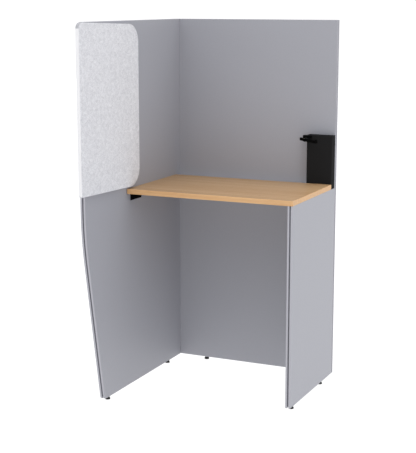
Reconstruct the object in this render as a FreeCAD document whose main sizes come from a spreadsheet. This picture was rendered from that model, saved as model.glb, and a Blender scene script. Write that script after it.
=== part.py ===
"""Standing office booth for one person, as a parametric assembly of separate pieces.

Two tall double-skin panels stand as an L, a low one closes the right side and carries the counter.
A felt wing is bolted to the left panel, and a tower behind the counter carries a swing-out hanger bar.
Millimetres, +Z up, +Y to the back, origin on the floor at the middle of the overall box.
"""

import FreeCAD, Part
import os

import Sketcher

# Driving dimensions in millimetres, except those whose name ends in share.
SIZES = {
    # Panels: two skins on a batten frame that lies back from the free edges
    "booth_width": 880,
    "panel_height": 1785,
    "skin_thickness": 9,
    "core_thickness": 7,
    "edge_groove": 8,
    "rail_width": 70,
    "desk_rail_width": 110,
    "side_depth": 980,
    "side_lean": 150,
    "knee_height": 813,
    "knee_radius": 1400,
    "side_top_radius": 25,
    "side_toe_radius": 12,
    # Counter
    "desk_height": 1000,
    "desk_thickness": 24,
    "desk_depth": 540,
    "desk_corner_radius": 5,
    "desk_band": 2,
    "desk_ease": 0.5,
    "cable_gap": 48,
    # Brackets under the counter
    "bracket_reach": 61,
    "bracket_width": 40,
    "bracket_wall_height": 38,
    "bracket_tip_height": 18,
    "bracket_tip_setback": 2,
    "bracket_sheet": 3,
    "bracket_front_inset": 38,
    "bracket_right_inset": 190,
    "bracket_rear_inset": 60,
    "bracket_screw_gauge": 10,
    # Felt wing
    "wing_length": 553,
    "wing_desk_gap": 4.5,
    "wing_thickness": 18,
    "wing_overhang": 55,
    "wing_drop": 17,
    "wing_rear_radius": 88,
    "wing_front_radius": 27,
    "wing_wrap": 3,
    "wing_ease": 0.2,
    "wing_bolt_front_inset": 100,
    "wing_bolt_rear_inset": 90,
    "wing_bolt_end_inset": 85,
    # Tower behind the counter
    "tower_width": 131,
    "tower_depth": 46,
    "tower_top": 1240,
    "tower_right_inset": 2.5,
    "tower_sheet": 1.6,
    "tower_bend_radius": 3,
    "tower_flange": 16,
    "tower_screw_inset": 22,
    "tower_end_ease": 3,
    # Hanger bar and its ear
    "hanger_length": 114,
    "hanger_tail": 42,
    "hanger_width": 13,
    "hanger_height": 14,
    "hanger_lip_rise": 5,
    "hanger_lip_depth": 7,
    "hanger_edge_radius": 2,
    "ear_height": 14,
    "ear_radius": 9,
    "ear_reach": 18,
    "ear_overhang": 5,
    "ear_root_width": 30,
    "hanger_washer": 1,
    "hanger_washer_radius": 6,
    # Levelling feet
    "foot_pad_radius": 12,
    "foot_pad_height": 13.5,
    "foot_pad_rim": 5,
    "foot_neck_radius": 8,
    "foot_stem_radius": 4,
    "foot_stem_length": 34,
    "foot_stem_seat": 4,
    "foot_sleeve_radius": 6,
    "foot_sleeve_length": 28,
    "foot_sleeve_flange": 1.5,
    "foot_sleeve_flange_radius": 11,
    "foot_bore_depth": 36,
    "foot_front_inset": 48,
    "foot_rear_inset": 137,
    "foot_back_inset": 175,
    # Connector bolts in threaded sleeves
    "bolt_radius": 3,
    "bolt_head_radius": 6,
    "sleeve_radius": 5,
    "corner_sleeve_length": 26,
    "corner_bolt_end_inset": 90,
    "wing_sleeve_length": 9,
    "thread_share": 0.8,
    # Wood screws
    "screw_radius": 2,
    "screw_head_radius": 4,
    "screw_head_height": 2.4,
    "screw_bite_share": 0.75,
    # Clearances and the overrun of cuts
    "hole_ease": 0.3,
    "bore_ease": 0.1,
    "thread_ease": 0.05,
    "overrun": 5,
}

doc = FreeCAD.newDocument("office_booth")
sheet = doc.addObject("Spreadsheet::Sheet", "Sizes")
for row, (alias, size) in enumerate(SIZES.items(), start=1):
    sheet.set(f"A{row}", alias)
    sheet.set(f"B{row}", str(size))
    sheet.setAlias(f"B{row}", alias)
doc.recompute()

# Places that several pieces share, as expressions of the sheet's sizes
PANEL = "(2 * Sizes.skin_thickness + Sizes.core_thickness)"
HALF_PANEL = f"({PANEL} / 2)"
LEFT = "(-Sizes.booth_width / 2)"
LEFT_INNER = f"({LEFT} + {PANEL})"
RIGHT = "(Sizes.booth_width / 2)"
RIGHT_INNER = f"({RIGHT} - {PANEL})"
REAR = f"(({PANEL} + Sizes.side_depth + Sizes.wing_overhang) / 2)"
WALL = f"({REAR} - {PANEL})"
SIDE_FRONT = f"({WALL} - Sizes.side_depth)"
BASE = "(Sizes.foot_pad_height + Sizes.foot_sleeve_flange)"
DESK_UNDER = "(Sizes.desk_height - Sizes.desk_thickness)"
LOW_HEIGHT = f"({DESK_UNDER} - {BASE})"
LOW_DEPTH = "(Sizes.cable_gap + Sizes.desk_depth)"
LOW_FRONT = f"({WALL} - {LOW_DEPTH})"
DESK_WIDTH = f"(Sizes.booth_width - {PANEL} - Sizes.desk_ease)"
FRAME_TOP = "(Sizes.panel_height - Sizes.edge_groove - Sizes.rail_width)"
RAIL_END = "(Sizes.edge_groove + Sizes.rail_width)"
WING_LEVEL = f"({BASE} + Sizes.panel_height - Sizes.wing_drop)"
WING_HEIGHT = f"({WING_LEVEL} - Sizes.desk_height - Sizes.wing_desk_gap)"
DESK_RAIL_LOW = f"({LOW_HEIGHT} - Sizes.desk_rail_width)"


def value(expression):
    """Return the number that an expression of the sheet's sizes stands for."""
    return float(sheet.evalExpression(expression))


def new_body(label):
    """Start a body that becomes one sub-part."""
    body = doc.addObject("PartDesign::Body", label)
    body.Label = label
    return body


def bind(target, path, expression):
    """Tie a property, or one part of a placement, to an expression."""
    target.setExpression(path, expression)


def place(target, x="0", y="0", z="0", rotation=None):
    """Set a sub-part's placement from three expressions and a fixed turn."""
    if rotation is not None:
        target.Placement = FreeCAD.Placement(FreeCAD.Vector(), rotation)
    bind(target, "Placement.Base.x", x)
    bind(target, "Placement.Base.y", y)
    bind(target, "Placement.Base.z", z)


def new_sketch(body, name, plane, offset="0"):
    """Attach a sketch to one of the body's own origin planes, offset along its normal."""
    sketch = body.newObject("Sketcher::SketchObject", name)
    support = next(item for item in body.Origin.OriginFeatures if item.Role == plane)
    sketch.AttachmentSupport = [(support, "")]
    sketch.MapMode = "FlatFace"
    bind(sketch, "AttachmentOffset.Base.z", offset)
    return sketch


def pin(sketch, geometry, position, spot, tag):
    """Hold one sketch point at a pair of expressions from the sketch's origin."""
    for kind, axis, expression in (("DistanceX", -2, spot[0]), ("DistanceY", -1, spot[1])):
        if expression == "0":
            sketch.addConstraint(Sketcher.Constraint("PointOnObject", geometry, position, axis))
            continue
        rule = Sketcher.Constraint(kind, -1, 1, geometry, position, value(expression))
        index = sketch.addConstraint(rule)
        sketch.renameConstraint(index, f"{kind}_{tag}")
        bind(sketch, f"Constraints.{kind}_{tag}", expression)


def outline(sketch, corners, tag="corner"):
    """Draw a closed polygon whose corners are pairs of expressions."""
    points = [FreeCAD.Vector(value(x), value(y), 0) for x, y in corners]
    following = points[1:] + points[:1]
    lines = [
        sketch.addGeometry(Part.LineSegment(start, end), False)
        for start, end in zip(points, following)
    ]
    for line, after in zip(lines, lines[1:] + lines[:1]):
        sketch.addConstraint(Sketcher.Constraint("Coincident", line, 2, after, 1))
    for number, (line, corner) in enumerate(zip(lines, corners)):
        pin(sketch, line, 1, corner, f"{tag}{number}")


def rectangle(low, high):
    """Return the four corners between two opposite ones."""
    return [low, (high[0], low[1]), high, (low[0], high[1])]


def pad(body, name, plane, corners, length, offset="0"):
    """Extrude a polygon along its plane's normal."""
    sketch = new_sketch(body, f"{name}_sketch", plane, offset)
    outline(sketch, corners)
    feature = body.newObject("PartDesign::Pad", name)
    feature.Profile = sketch
    bind(feature, "Length", length)
    doc.recompute()
    return feature


def finish_cut(body, name, sketch, depth, forward):
    """Cut a sketch into the body and make sure that material went."""
    before = body.Shape.Volume
    feature = body.newObject("PartDesign::Pocket", name)
    feature.Profile = sketch
    feature.Reversed = forward
    bind(feature, "Length", depth)
    doc.recompute()
    if not body.Shape.Volume < before:
        raise RuntimeError(f"{name} cuts nothing")
    return feature


def pocket(body, name, plane, polygons, depth, offset="0", forward=True):
    """Cut polygons into the body, along the plane's normal or against it."""
    sketch = new_sketch(body, f"{name}_sketch", plane, offset)
    for number, corners in enumerate(polygons):
        outline(sketch, corners, f"window{number}_")
    return finish_cut(body, name, sketch, depth, forward)


def drill(body, name, plane, spots, radius, depth, offset="0", forward=True):
    """Cut round holes of one radius at pairs of expressions."""
    sketch = new_sketch(body, f"{name}_sketch", plane, offset)
    upright = FreeCAD.Vector(0, 0, 1)
    for number, (x, y) in enumerate(spots):
        centre = FreeCAD.Vector(value(x), value(y), 0)
        circle = sketch.addGeometry(Part.Circle(centre, upright, value(radius)), False)
        pin(sketch, circle, 3, (x, y), f"hole{number}")
        index = sketch.addConstraint(Sketcher.Constraint("Radius", circle, value(radius)))
        sketch.renameConstraint(index, f"radius{number}")
        bind(sketch, f"Constraints.radius{number}", radius)
    return finish_cut(body, name, sketch, depth, forward)


def edges_along(shape, axis, places):
    """Name the straight edges along an axis that pass through given places across it."""
    names = []
    for number, edge in enumerate(shape.Edges, start=1):
        ends = [vertex.Point for vertex in edge.Vertexes]
        if len(ends) != 2 or not isinstance(edge.Curve, Part.Line):
            continue
        across = [[v for i, v in enumerate(end) if i != axis] for end in ends]
        for spot in places:
            gaps = [abs(a - value(b)) for end in across for a, b in zip(end, spot)]
            if max(gaps) < edge.Length * 1e-6:
                names.append(f"Edge{number}")
    return names


def round_edges(body, name, axis, places, radius):
    """Round the edges that run along an axis through given places."""
    base = body.Tip
    names = edges_along(base.Shape, axis, places)
    if len(names) < len(places):
        raise RuntimeError(f"{name} found {len(names)} of {len(places)} edges")
    feature = body.newObject("PartDesign::Fillet", name)
    feature.Base = (base, names)
    bind(feature, "Radius", radius)
    doc.recompute()
    return feature


def countersink(body, name, face_axis, face_place, size):
    """Chamfer the rims of the holes that open in one flat face of the body."""
    base = body.Tip
    level = value(face_place)
    names = []
    for number, edge in enumerate(base.Shape.Edges, start=1):
        round_rim = isinstance(edge.Curve, Part.Circle) and edge.isClosed()
        if round_rim and abs(edge.Curve.Center[face_axis] - level) < edge.Curve.Radius * 1e-6:
            names.append(f"Edge{number}")
    feature = body.newObject("PartDesign::Chamfer", name)
    feature.Base = (base, names)
    bind(feature, "Size", size)
    doc.recompute()
    return feature


AXES = {
    "+x": (FreeCAD.Vector(1, 0, 0), 0, "+"),
    "-x": (FreeCAD.Vector(-1, 0, 0), 0, "-"),
    "+y": (FreeCAD.Vector(0, 1, 0), 1, "+"),
    "-y": (FreeCAD.Vector(0, -1, 0), 1, "-"),
    "+z": (FreeCAD.Vector(0, 0, 1), 2, "+"),
    "-z": (FreeCAD.Vector(0, 0, -1), 2, "-"),
}


def stack(name, spot, direction, steps, bore=None):
    """Turn a piece from coaxial steps (first radius, last radius, length), with an optional bore."""
    vector, index, sign = AXES[direction]
    turn = FreeCAD.Rotation(FreeCAD.Vector(0, 0, 1), vector)
    reached = "0"
    solids = []

    def seat(solid):
        centre = list(spot)
        centre[index] = f"{spot[index]} {sign} ({reached})"
        place(solid, *centre, rotation=turn)

    for number, (first, last, length) in enumerate(steps):
        if first == last:
            solid = doc.addObject("Part::Cylinder", f"{name}_step{number}")
            bind(solid, "Radius", first)
        else:
            solid = doc.addObject("Part::Cone", f"{name}_step{number}")
            bind(solid, "Radius1", first)
            bind(solid, "Radius2", last)
        bind(solid, "Height", length)
        seat(solid)
        solids.append(solid)
        reached = f"{reached} + {length}"
    whole = solids[0]
    if len(solids) > 1:
        whole = doc.addObject("Part::MultiFuse", f"{name}_turned")
        whole.Shapes = solids
        whole.Refine = True
    if bore is not None:
        radius, start, length = bore
        reached = start
        tool = doc.addObject("Part::Cylinder", f"{name}_bore")
        bind(tool, "Radius", radius)
        bind(tool, "Height", length)
        seat(tool)
        bored = doc.addObject("Part::Cut", f"{name}_bored")
        bored.Base = whole
        bored.Tool = tool
        whole = bored
    return whole


SUB_PARTS = []


def keep(target, label):
    """Give a finished sub-part its label and put it on the list of pieces."""
    target.Label = label
    SUB_PARTS.append(target)
    return target


def keep_group(label, members):
    """Keep identical fasteners together as one sub-part of separate solids."""
    group = doc.addObject("Part::Compound", f"{label}_group")
    group.Links = members
    return keep(group, label)


BOLT_HOLE = "(Sizes.bolt_radius + Sizes.hole_ease)"
BOLT_SINK = "(Sizes.bolt_head_radius - Sizes.bolt_radius)"
SLEEVE_BORE = "(Sizes.sleeve_radius + Sizes.bore_ease)"
THREAD_BORE = "(Sizes.bolt_radius + Sizes.thread_ease)"
SCREW_HOLE = "(Sizes.screw_radius + Sizes.hole_ease)"
PILOT_HOLE = "(Sizes.screw_radius + Sizes.thread_ease)"
FOOT_BORE = "(Sizes.foot_sleeve_radius + Sizes.bore_ease)"
RAIL_BITE = "(Sizes.skin_thickness + Sizes.core_thickness * Sizes.screw_bite_share)"
SKIN_BITE = "(Sizes.skin_thickness * Sizes.screw_bite_share)"
DESK_BITE = "(Sizes.desk_thickness * Sizes.screw_bite_share)"
SLEEVE_DEPTH = "(Sizes.corner_sleeve_length + Sizes.overrun)"

# Heights of the corner bolts above the panels' lower edge
TALL_BOLTS = [
    "Sizes.corner_bolt_end_inset",
    f"({LOW_HEIGHT} / 2)",
    f"(({LOW_HEIGHT} + Sizes.panel_height) / 2)",
    "(Sizes.panel_height - Sizes.corner_bolt_end_inset)",
]
LOW_BOLTS = [
    "Sizes.corner_bolt_end_inset",
    f"({LOW_HEIGHT} / 2)",
    f"({LOW_HEIGHT} - Sizes.corner_bolt_end_inset)",
]

# Wing bolts in the left panel's own frame: from its front edge, and from its lower edge
WING_FRONT_BOLT = "(Sizes.wing_bolt_front_inset - Sizes.wing_overhang)"
WING_REAR_BOLT = "(Sizes.wing_length - Sizes.wing_overhang - Sizes.wing_bolt_rear_inset)"
WING_LOW_BOLT = f"(Sizes.panel_height - {WING_HEIGHT} + Sizes.wing_bolt_end_inset)"
WING_HIGH_BOLT = "(Sizes.panel_height - Sizes.wing_drop - Sizes.wing_bolt_end_inset)"
WING_BOLTS = [
    (along, height)
    for along in (WING_FRONT_BOLT, WING_REAR_BOLT)
    for height in (WING_LOW_BOLT, WING_HIGH_BOLT)
]

# Middles of the brackets, from the counter's front edge: the right-hand panel hides its own
BRACKET_REAR = "(Sizes.desk_depth - Sizes.bracket_rear_inset - Sizes.bracket_width / 2)"
LEFT_BRACKETS = {
    "front": "(Sizes.bracket_front_inset + Sizes.bracket_width / 2)",
    "rear": BRACKET_REAR,
}
RIGHT_BRACKETS = {
    "front": "(Sizes.bracket_right_inset + Sizes.bracket_width / 2)",
    "rear": BRACKET_REAR,
}
# Wall screws of a bracket: one each side of its middle, at half the wall's height
BRACKET_WALL_DROP = "(Sizes.bracket_wall_height / 2 + Sizes.bracket_sheet / 2)"


def bracket_pilots(brackets, start):
    """Return the wall screws of a panel's brackets, along it from a start and up it."""
    level = f"({LOW_HEIGHT} - {BRACKET_WALL_DROP})"
    return [
        (f"({start} + {middle} {hand} Sizes.bracket_screw_gauge)", level)
        for middle in brackets.values()
        for hand in "-+"
    ]


def drill_edge_bores(body, across, depth_end, bolt_heights, foot_spots):
    """Bore a side panel's layer for its corner sleeves and for its feet."""
    rear = [(across, height) for height in bolt_heights]
    drill(body, "sleeve_bores", "XZ_Plane", rear, SLEEVE_BORE, SLEEVE_DEPTH, f"-{depth_end}")
    feet = [(across, spot) for spot in foot_spots]
    drill(body, "foot_bores", "XY_Plane", feet, FOOT_BORE, "Sizes.foot_bore_depth")


# Left panel: upright front edge above a knee, leaning back to the toe below it
SIDE_FEET = [
    "(Sizes.side_lean + Sizes.foot_front_inset)",
    "(Sizes.side_depth - Sizes.foot_rear_inset)",
]


def side_profile(recess):
    """Return the left panel's corners, set in from its free edges by a recess."""
    return [
        ("Sizes.side_depth", recess),
        ("Sizes.side_depth", f"(Sizes.panel_height - {recess})"),
        (recess, f"(Sizes.panel_height - {recess})"),
        (recess, "Sizes.knee_height"),
        (f"(Sizes.side_lean + {recess})", recess),
    ]


def side_layer(label, thickness, start, recess):
    """Build one layer of the left panel, counted from its outer face."""
    body = new_body(label)
    corners = side_profile(recess)
    pad(body, "board", "YZ_Plane", corners, thickness)
    round_edges(body, "knee", 0, [corners[3]], "Sizes.knee_radius")
    round_edges(body, "top_corner", 0, [corners[2]], "Sizes.side_top_radius")
    round_edges(body, "toe_corner", 0, [corners[4]], "Sizes.side_toe_radius")
    across = f"({HALF_PANEL} - {start})"
    drill_edge_bores(body, across, "Sizes.side_depth", TALL_BOLTS, SIDE_FEET)
    drill(body, "wing_bolt_holes", "YZ_Plane", WING_BOLTS, BOLT_HOLE, thickness)
    place(body, f"({LEFT} + {start})", SIDE_FRONT, BASE)
    return keep(body, label)


SIDE_DESK_FRONT = f"(Sizes.side_depth - {LOW_DEPTH})"
SIDE_BRACKET_SCREWS = bracket_pilots(LEFT_BRACKETS, SIDE_DESK_FRONT)
MID_STILE_FRONT = f"({WING_REAR_BOLT} - Sizes.rail_width / 2)"
MID_STILE_REAR = f"({WING_REAR_BOLT} + Sizes.rail_width / 2)"
SIDE_REAR_STILE = "(Sizes.side_depth - Sizes.rail_width)"

left_outer = side_layer("left_outer_skin", "Sizes.skin_thickness", "0", "0")
countersink(left_outer, "bolt_seats", 0, "0", BOLT_SINK)

left_frame = side_layer("left_frame", "Sizes.core_thickness", "Sizes.skin_thickness", "Sizes.edge_groove")
pocket(
    left_frame,
    "windows",
    "YZ_Plane",
    [
        rectangle((RAIL_END, LOW_HEIGHT), (MID_STILE_FRONT, FRAME_TOP)),
        rectangle((MID_STILE_REAR, LOW_HEIGHT), (SIDE_REAR_STILE, FRAME_TOP)),
        rectangle((f"(Sizes.side_lean + {RAIL_END})", RAIL_END), (MID_STILE_FRONT, DESK_RAIL_LOW)),
        rectangle((MID_STILE_REAR, RAIL_END), (SIDE_REAR_STILE, DESK_RAIL_LOW)),
    ],
    "Sizes.core_thickness",
)
drill(
    left_frame,
    "bracket_pilots",
    "YZ_Plane",
    SIDE_BRACKET_SCREWS,
    PILOT_HOLE,
    "Sizes.core_thickness",
)

left_inner = side_layer(
    "left_inner_skin",
    "Sizes.skin_thickness",
    "(Sizes.skin_thickness + Sizes.core_thickness)",
    "0",
)
drill(left_inner, "bracket_pilots", "YZ_Plane", SIDE_BRACKET_SCREWS, PILOT_HOLE, "Sizes.skin_thickness")

# Back panel: full width, its layers counted from the rear face towards the front
BACK_FEET = ["Sizes.foot_back_inset", "(Sizes.booth_width - Sizes.foot_back_inset)"]
BACK_BOLTS = [(HALF_PANEL, height) for height in TALL_BOLTS]
BACK_BOLTS += [(f"(Sizes.booth_width - {HALF_PANEL})", height) for height in LOW_BOLTS]
TOWER_LEFT = "(Sizes.booth_width - Sizes.tower_right_inset - Sizes.tower_width)"
TOWER_HEIGHT = f"(Sizes.tower_top - {DESK_UNDER})"
TOWER_SCREW_COLUMNS = [
    "Sizes.tower_screw_inset + Sizes.tower_flange",
    "Sizes.tower_width - Sizes.tower_flange - Sizes.tower_screw_inset",
]
TOWER_SCREW_ROWS = ["Sizes.tower_screw_inset", f"{TOWER_HEIGHT} - Sizes.tower_screw_inset"]
TOWER_SCREWS = [
    (f"({TOWER_LEFT} + {column})", f"({LOW_HEIGHT} + {row})")
    for column in TOWER_SCREW_COLUMNS
    for row in TOWER_SCREW_ROWS
]


def back_layer(label, thickness, start, recess):
    """Build one layer of the back panel, counted from its rear face."""
    body = new_body(label)
    corners = rectangle(
        (recess, recess),
        (f"(Sizes.booth_width - {recess})", f"(Sizes.panel_height - {recess})"),
    )
    pad(body, "board", "XZ_Plane", corners, thickness)
    feet = [(spot, f"({start} - {HALF_PANEL})") for spot in BACK_FEET]
    drill(body, "foot_bores", "XY_Plane", feet, FOOT_BORE, "Sizes.foot_bore_depth")
    drill(body, "bolt_holes", "XZ_Plane", BACK_BOLTS, BOLT_HOLE, thickness)
    place(body, LEFT, f"({REAR} - {start})", BASE)
    return keep(body, label)


back_outer = back_layer("back_outer_skin", "Sizes.skin_thickness", "0", "0")
countersink(back_outer, "bolt_seats", 1, "0", BOLT_SINK)

BACK_STILE_END = f"(Sizes.booth_width - {RAIL_END})"
BACK_MID_FRONT = "(Sizes.booth_width / 2 - Sizes.rail_width / 2)"
BACK_MID_REAR = "(Sizes.booth_width / 2 + Sizes.rail_width / 2)"
back_frame = back_layer("back_frame", "Sizes.core_thickness", "Sizes.skin_thickness", "Sizes.edge_groove")
pocket(
    back_frame,
    "windows",
    "XZ_Plane",
    [
        rectangle((start, low), (end, high))
        for start, end in ((RAIL_END, BACK_MID_FRONT), (BACK_MID_REAR, BACK_STILE_END))
        for low, high in ((RAIL_END, DESK_RAIL_LOW), (LOW_HEIGHT, FRAME_TOP))
    ],
    "Sizes.core_thickness",
)

back_inner = back_layer(
    "back_inner_skin",
    "Sizes.skin_thickness",
    "(Sizes.skin_thickness + Sizes.core_thickness)",
    "0",
)
drill(
    back_inner,
    "tower_pilots",
    "XZ_Plane",
    TOWER_SCREWS,
    PILOT_HOLE,
    SKIN_BITE,
    "Sizes.skin_thickness",
    False,
)

# Right panel: as high as the counter's underside, its layers counted from the inner face
LOW_FEET = ["Sizes.foot_front_inset", f"({LOW_DEPTH} - Sizes.foot_rear_inset)"]
LOW_BRACKET_SCREWS = bracket_pilots(RIGHT_BRACKETS, "0")


def low_layer(label, thickness, start, recess):
    """Build one layer of the right panel, counted from its inner face."""
    body = new_body(label)
    corners = rectangle((recess, recess), (LOW_DEPTH, f"({LOW_HEIGHT} - {recess})"))
    pad(body, "board", "YZ_Plane", corners, thickness)
    across = f"({HALF_PANEL} - {start})"
    drill_edge_bores(body, across, LOW_DEPTH, LOW_BOLTS, LOW_FEET)
    place(body, f"({RIGHT_INNER} + {start})", LOW_FRONT, BASE)
    return keep(body, label)


right_inner = low_layer("right_inner_skin", "Sizes.skin_thickness", "0", "0")
drill(right_inner, "bracket_pilots", "YZ_Plane", LOW_BRACKET_SCREWS, PILOT_HOLE, "Sizes.skin_thickness")

right_frame = low_layer("right_frame", "Sizes.core_thickness", "Sizes.skin_thickness", "Sizes.edge_groove")
pocket(
    right_frame,
    "window",
    "YZ_Plane",
    [rectangle((RAIL_END, RAIL_END), (f"({LOW_DEPTH} - Sizes.rail_width)", DESK_RAIL_LOW))],
    "Sizes.core_thickness",
)
drill(right_frame, "bracket_pilots", "YZ_Plane", LOW_BRACKET_SCREWS, PILOT_HOLE, "Sizes.core_thickness")

low_layer(
    "right_outer_skin",
    "Sizes.skin_thickness",
    "(Sizes.skin_thickness + Sizes.core_thickness)",
    "0",
)


# Corner joints: countersunk bolts from the rear into sleeves in the side panels' rear edges
def corner_joint(side, middle, heights):
    """Make the bolts and sleeves that hold one side panel to the back panel."""
    bolts = []
    sleeves = []
    reach = "(Sizes.corner_sleeve_length * Sizes.thread_share)"
    for number, height in enumerate(heights):
        level = f"({BASE} + {height})"
        steps = [
            ("Sizes.bolt_head_radius", "Sizes.bolt_radius", BOLT_SINK),
            ("Sizes.bolt_radius", "Sizes.bolt_radius", f"({PANEL} - {BOLT_SINK} + {reach})"),
        ]
        bolts.append(stack(f"{side}_corner_bolt{number}", (middle, REAR, level), "-y", steps))
        body = [("Sizes.sleeve_radius", "Sizes.sleeve_radius", "Sizes.corner_sleeve_length")]
        bore = (THREAD_BORE, "0", "Sizes.corner_sleeve_length")
        sleeves.append(stack(f"{side}_sleeve{number}", (middle, WALL, level), "-y", body, bore))
    keep_group(f"{side}_corner_bolts", bolts)
    keep_group(f"{side}_corner_sleeves", sleeves)


corner_joint("left", f"({LEFT} + {HALF_PANEL})", TALL_BOLTS)
corner_joint("right", f"({RIGHT} - {HALF_PANEL})", LOW_BOLTS)


# Counter: a board with an edge band wrapped round its rounded corners
def desk_form(label, inset):
    """Build the counter's outline, set in by an inset, with all four corners rounded."""
    body = new_body(label)
    ends = (f"({DESK_WIDTH} - {inset})", f"(Sizes.desk_depth - {inset})")
    corners = rectangle((inset, inset), ends)
    pad(body, "slab", "XY_Plane", corners, "Sizes.desk_thickness")
    round_edges(body, "corners", 2, corners, f"(Sizes.desk_corner_radius - {inset})")
    return body


DESK_SCREWS = [
    (across, f"({middle} {hand} Sizes.bracket_screw_gauge)")
    for across, brackets in (
        ("(Sizes.bracket_reach / 2 - Sizes.desk_ease)", LEFT_BRACKETS),
        (f"(Sizes.booth_width - 2 * {PANEL} - Sizes.desk_ease - Sizes.bracket_reach / 2)", RIGHT_BRACKETS),
    )
    for middle in brackets.values()
    for hand in "-+"
]
DESK_LEFT = f"({LEFT_INNER} + Sizes.desk_ease)"
desk_board = desk_form("desk_board", "(Sizes.desk_band + Sizes.thread_ease)")
drill(desk_board, "bracket_pilots", "XY_Plane", DESK_SCREWS, PILOT_HOLE, DESK_BITE)
place(desk_board, DESK_LEFT, LOW_FRONT, DESK_UNDER)
keep(desk_board, "desk_board")

desk_edge = doc.addObject("Part::Cut", "desk_edge_cut")
desk_edge.Base = desk_form("desk_edge_outer", "0")
desk_edge.Tool = desk_form("desk_edge_inner", "Sizes.desk_band")
place(desk_edge, DESK_LEFT, LOW_FRONT, DESK_UNDER)
keep(desk_edge, "desk_edge_band")


# Brackets: angles with a wall flange, a top flange and one tapered gusset at the end
def bracket(label, wall, middle, turned):
    """Build one bracket against a panel's inner face, with its middle at a depth."""
    body = new_body(label)
    gusset = [
        ("0", "0"),
        ("Sizes.bracket_reach", "0"),
        ("(Sizes.bracket_reach - Sizes.bracket_tip_setback)", "-Sizes.bracket_tip_height"),
        ("0", "-Sizes.bracket_wall_height"),
    ]
    pad(body, "blank", "XZ_Plane", gusset, "Sizes.bracket_width", "-Sizes.bracket_width / 2")
    inside = rectangle(
        ("Sizes.bracket_sheet", "-Sizes.bracket_wall_height - Sizes.overrun"),
        ("Sizes.bracket_reach + Sizes.overrun", "-Sizes.bracket_sheet"),
    )
    clear = "(Sizes.bracket_width - Sizes.bracket_sheet + Sizes.overrun)"
    pocket(body, "open_side", "XZ_Plane", [inside], clear, "-(Sizes.bracket_width / 2 + Sizes.overrun)")
    pair = ["-Sizes.bracket_screw_gauge", "Sizes.bracket_screw_gauge"]
    wall_spots = [(side, f"-{BRACKET_WALL_DROP}") for side in pair]
    drill(body, "wall_holes", "YZ_Plane", wall_spots, SCREW_HOLE, "Sizes.bracket_sheet")
    top_spots = [("Sizes.bracket_reach / 2", side) for side in pair]
    drill(body, "top_holes", "XY_Plane", top_spots, SCREW_HOLE, "Sizes.bracket_sheet", "0", False)
    angle = 180 if turned else 0
    rotation = FreeCAD.Rotation(FreeCAD.Vector(0, 0, 1), angle)
    place(body, wall, f"({LOW_FRONT} + {middle})", DESK_UNDER, rotation)
    return keep(body, label)


def wood_screw(name, spot, direction, length):
    """Make a pan-head wood screw whose head seats at a spot and whose shank follows a direction."""
    head = [("Sizes.screw_head_radius", "Sizes.screw_head_radius", "Sizes.screw_head_height")]
    shank = [("Sizes.screw_radius", "Sizes.screw_radius", length)]
    return stack(name, spot, direction, head + shank)


wall_screws = []
desk_screws = []
for side, brackets, wall, outward, turned in (
    ("left", LEFT_BRACKETS, LEFT_INNER, "+", False),
    ("right", RIGHT_BRACKETS, RIGHT_INNER, "-", True),
):
    inward = "-" if outward == "+" else "+"
    for end, middle in brackets.items():
        label = f"desk_bracket_{side}_{end}"
        bracket(label, wall, middle, turned)
        for hand in "-+":
            depth = f"({LOW_FRONT} + {middle} {hand} Sizes.bracket_screw_gauge)"
            head = f"({wall} {outward} (Sizes.bracket_sheet + Sizes.screw_head_height))"
            level = f"({DESK_UNDER} - {BRACKET_WALL_DROP})"
            long = f"(Sizes.bracket_sheet + {RAIL_BITE})"
            name = f"{label}_wall_screw{len(wall_screws)}"
            wall_screws.append(wood_screw(name, (head, depth, level), f"{inward}x", long))
            across = f"({wall} {outward} Sizes.bracket_reach / 2)"
            head = f"({DESK_UNDER} - Sizes.bracket_sheet - Sizes.screw_head_height)"
            long = f"(Sizes.bracket_sheet + {DESK_BITE} - Sizes.thread_ease)"
            name = f"{label}_desk_screw{len(desk_screws)}"
            desk_screws.append(wood_screw(name, (across, depth, head), "+z", long))
keep_group("bracket_wall_screws", wall_screws)
keep_group("bracket_desk_screws", desk_screws)


# Wing: a felt-wrapped board whose upper and lower edges fall a little towards the back
def wing_form(label, inset, thickness):
    """Build the wing's outline, set in by an inset, with its rounded corners."""
    body = new_body(label)
    front_low = (inset, f"(Sizes.wing_drop + {inset})")
    rear_low = (f"(Sizes.wing_length - {inset})", inset)
    rear_high = (f"(Sizes.wing_length - {inset})", f"({WING_HEIGHT} - {inset})")
    front_high = (inset, f"({WING_HEIGHT} + Sizes.wing_drop - {inset})")
    pad(body, "board", "YZ_Plane", [front_low, rear_low, rear_high, front_high], thickness)
    round_edges(body, "rear_corners", 0, [rear_low, rear_high], f"(Sizes.wing_rear_radius - {inset})")
    round_edges(body, "front_corner", 0, [front_high], f"(Sizes.wing_front_radius - {inset})")
    return body


WING_BOTTOM = f"(Sizes.panel_height - {WING_HEIGHT} - Sizes.wing_drop)"
WING_CORE_INSET = "(Sizes.wing_wrap + Sizes.wing_ease)"
WING_CORE_THICKNESS = f"(Sizes.wing_thickness - 2 * {WING_CORE_INSET})"
WING_SPOTS = [(f"({y} + Sizes.wing_overhang)", f"({z} - {WING_BOTTOM})") for y, z in WING_BOLTS]
WING_PLACE = (f"({SIDE_FRONT} - Sizes.wing_overhang)", f"({BASE} + {WING_BOTTOM})")

wing_core = wing_form("wing_core", WING_CORE_INSET, WING_CORE_THICKNESS)
drill(wing_core, "sleeve_bores", "YZ_Plane", WING_SPOTS, SLEEVE_BORE, "Sizes.wing_sleeve_length")
place(wing_core, f"({LEFT_INNER} + {WING_CORE_INSET})", *WING_PLACE)
keep(wing_core, "wing_core")

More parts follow.
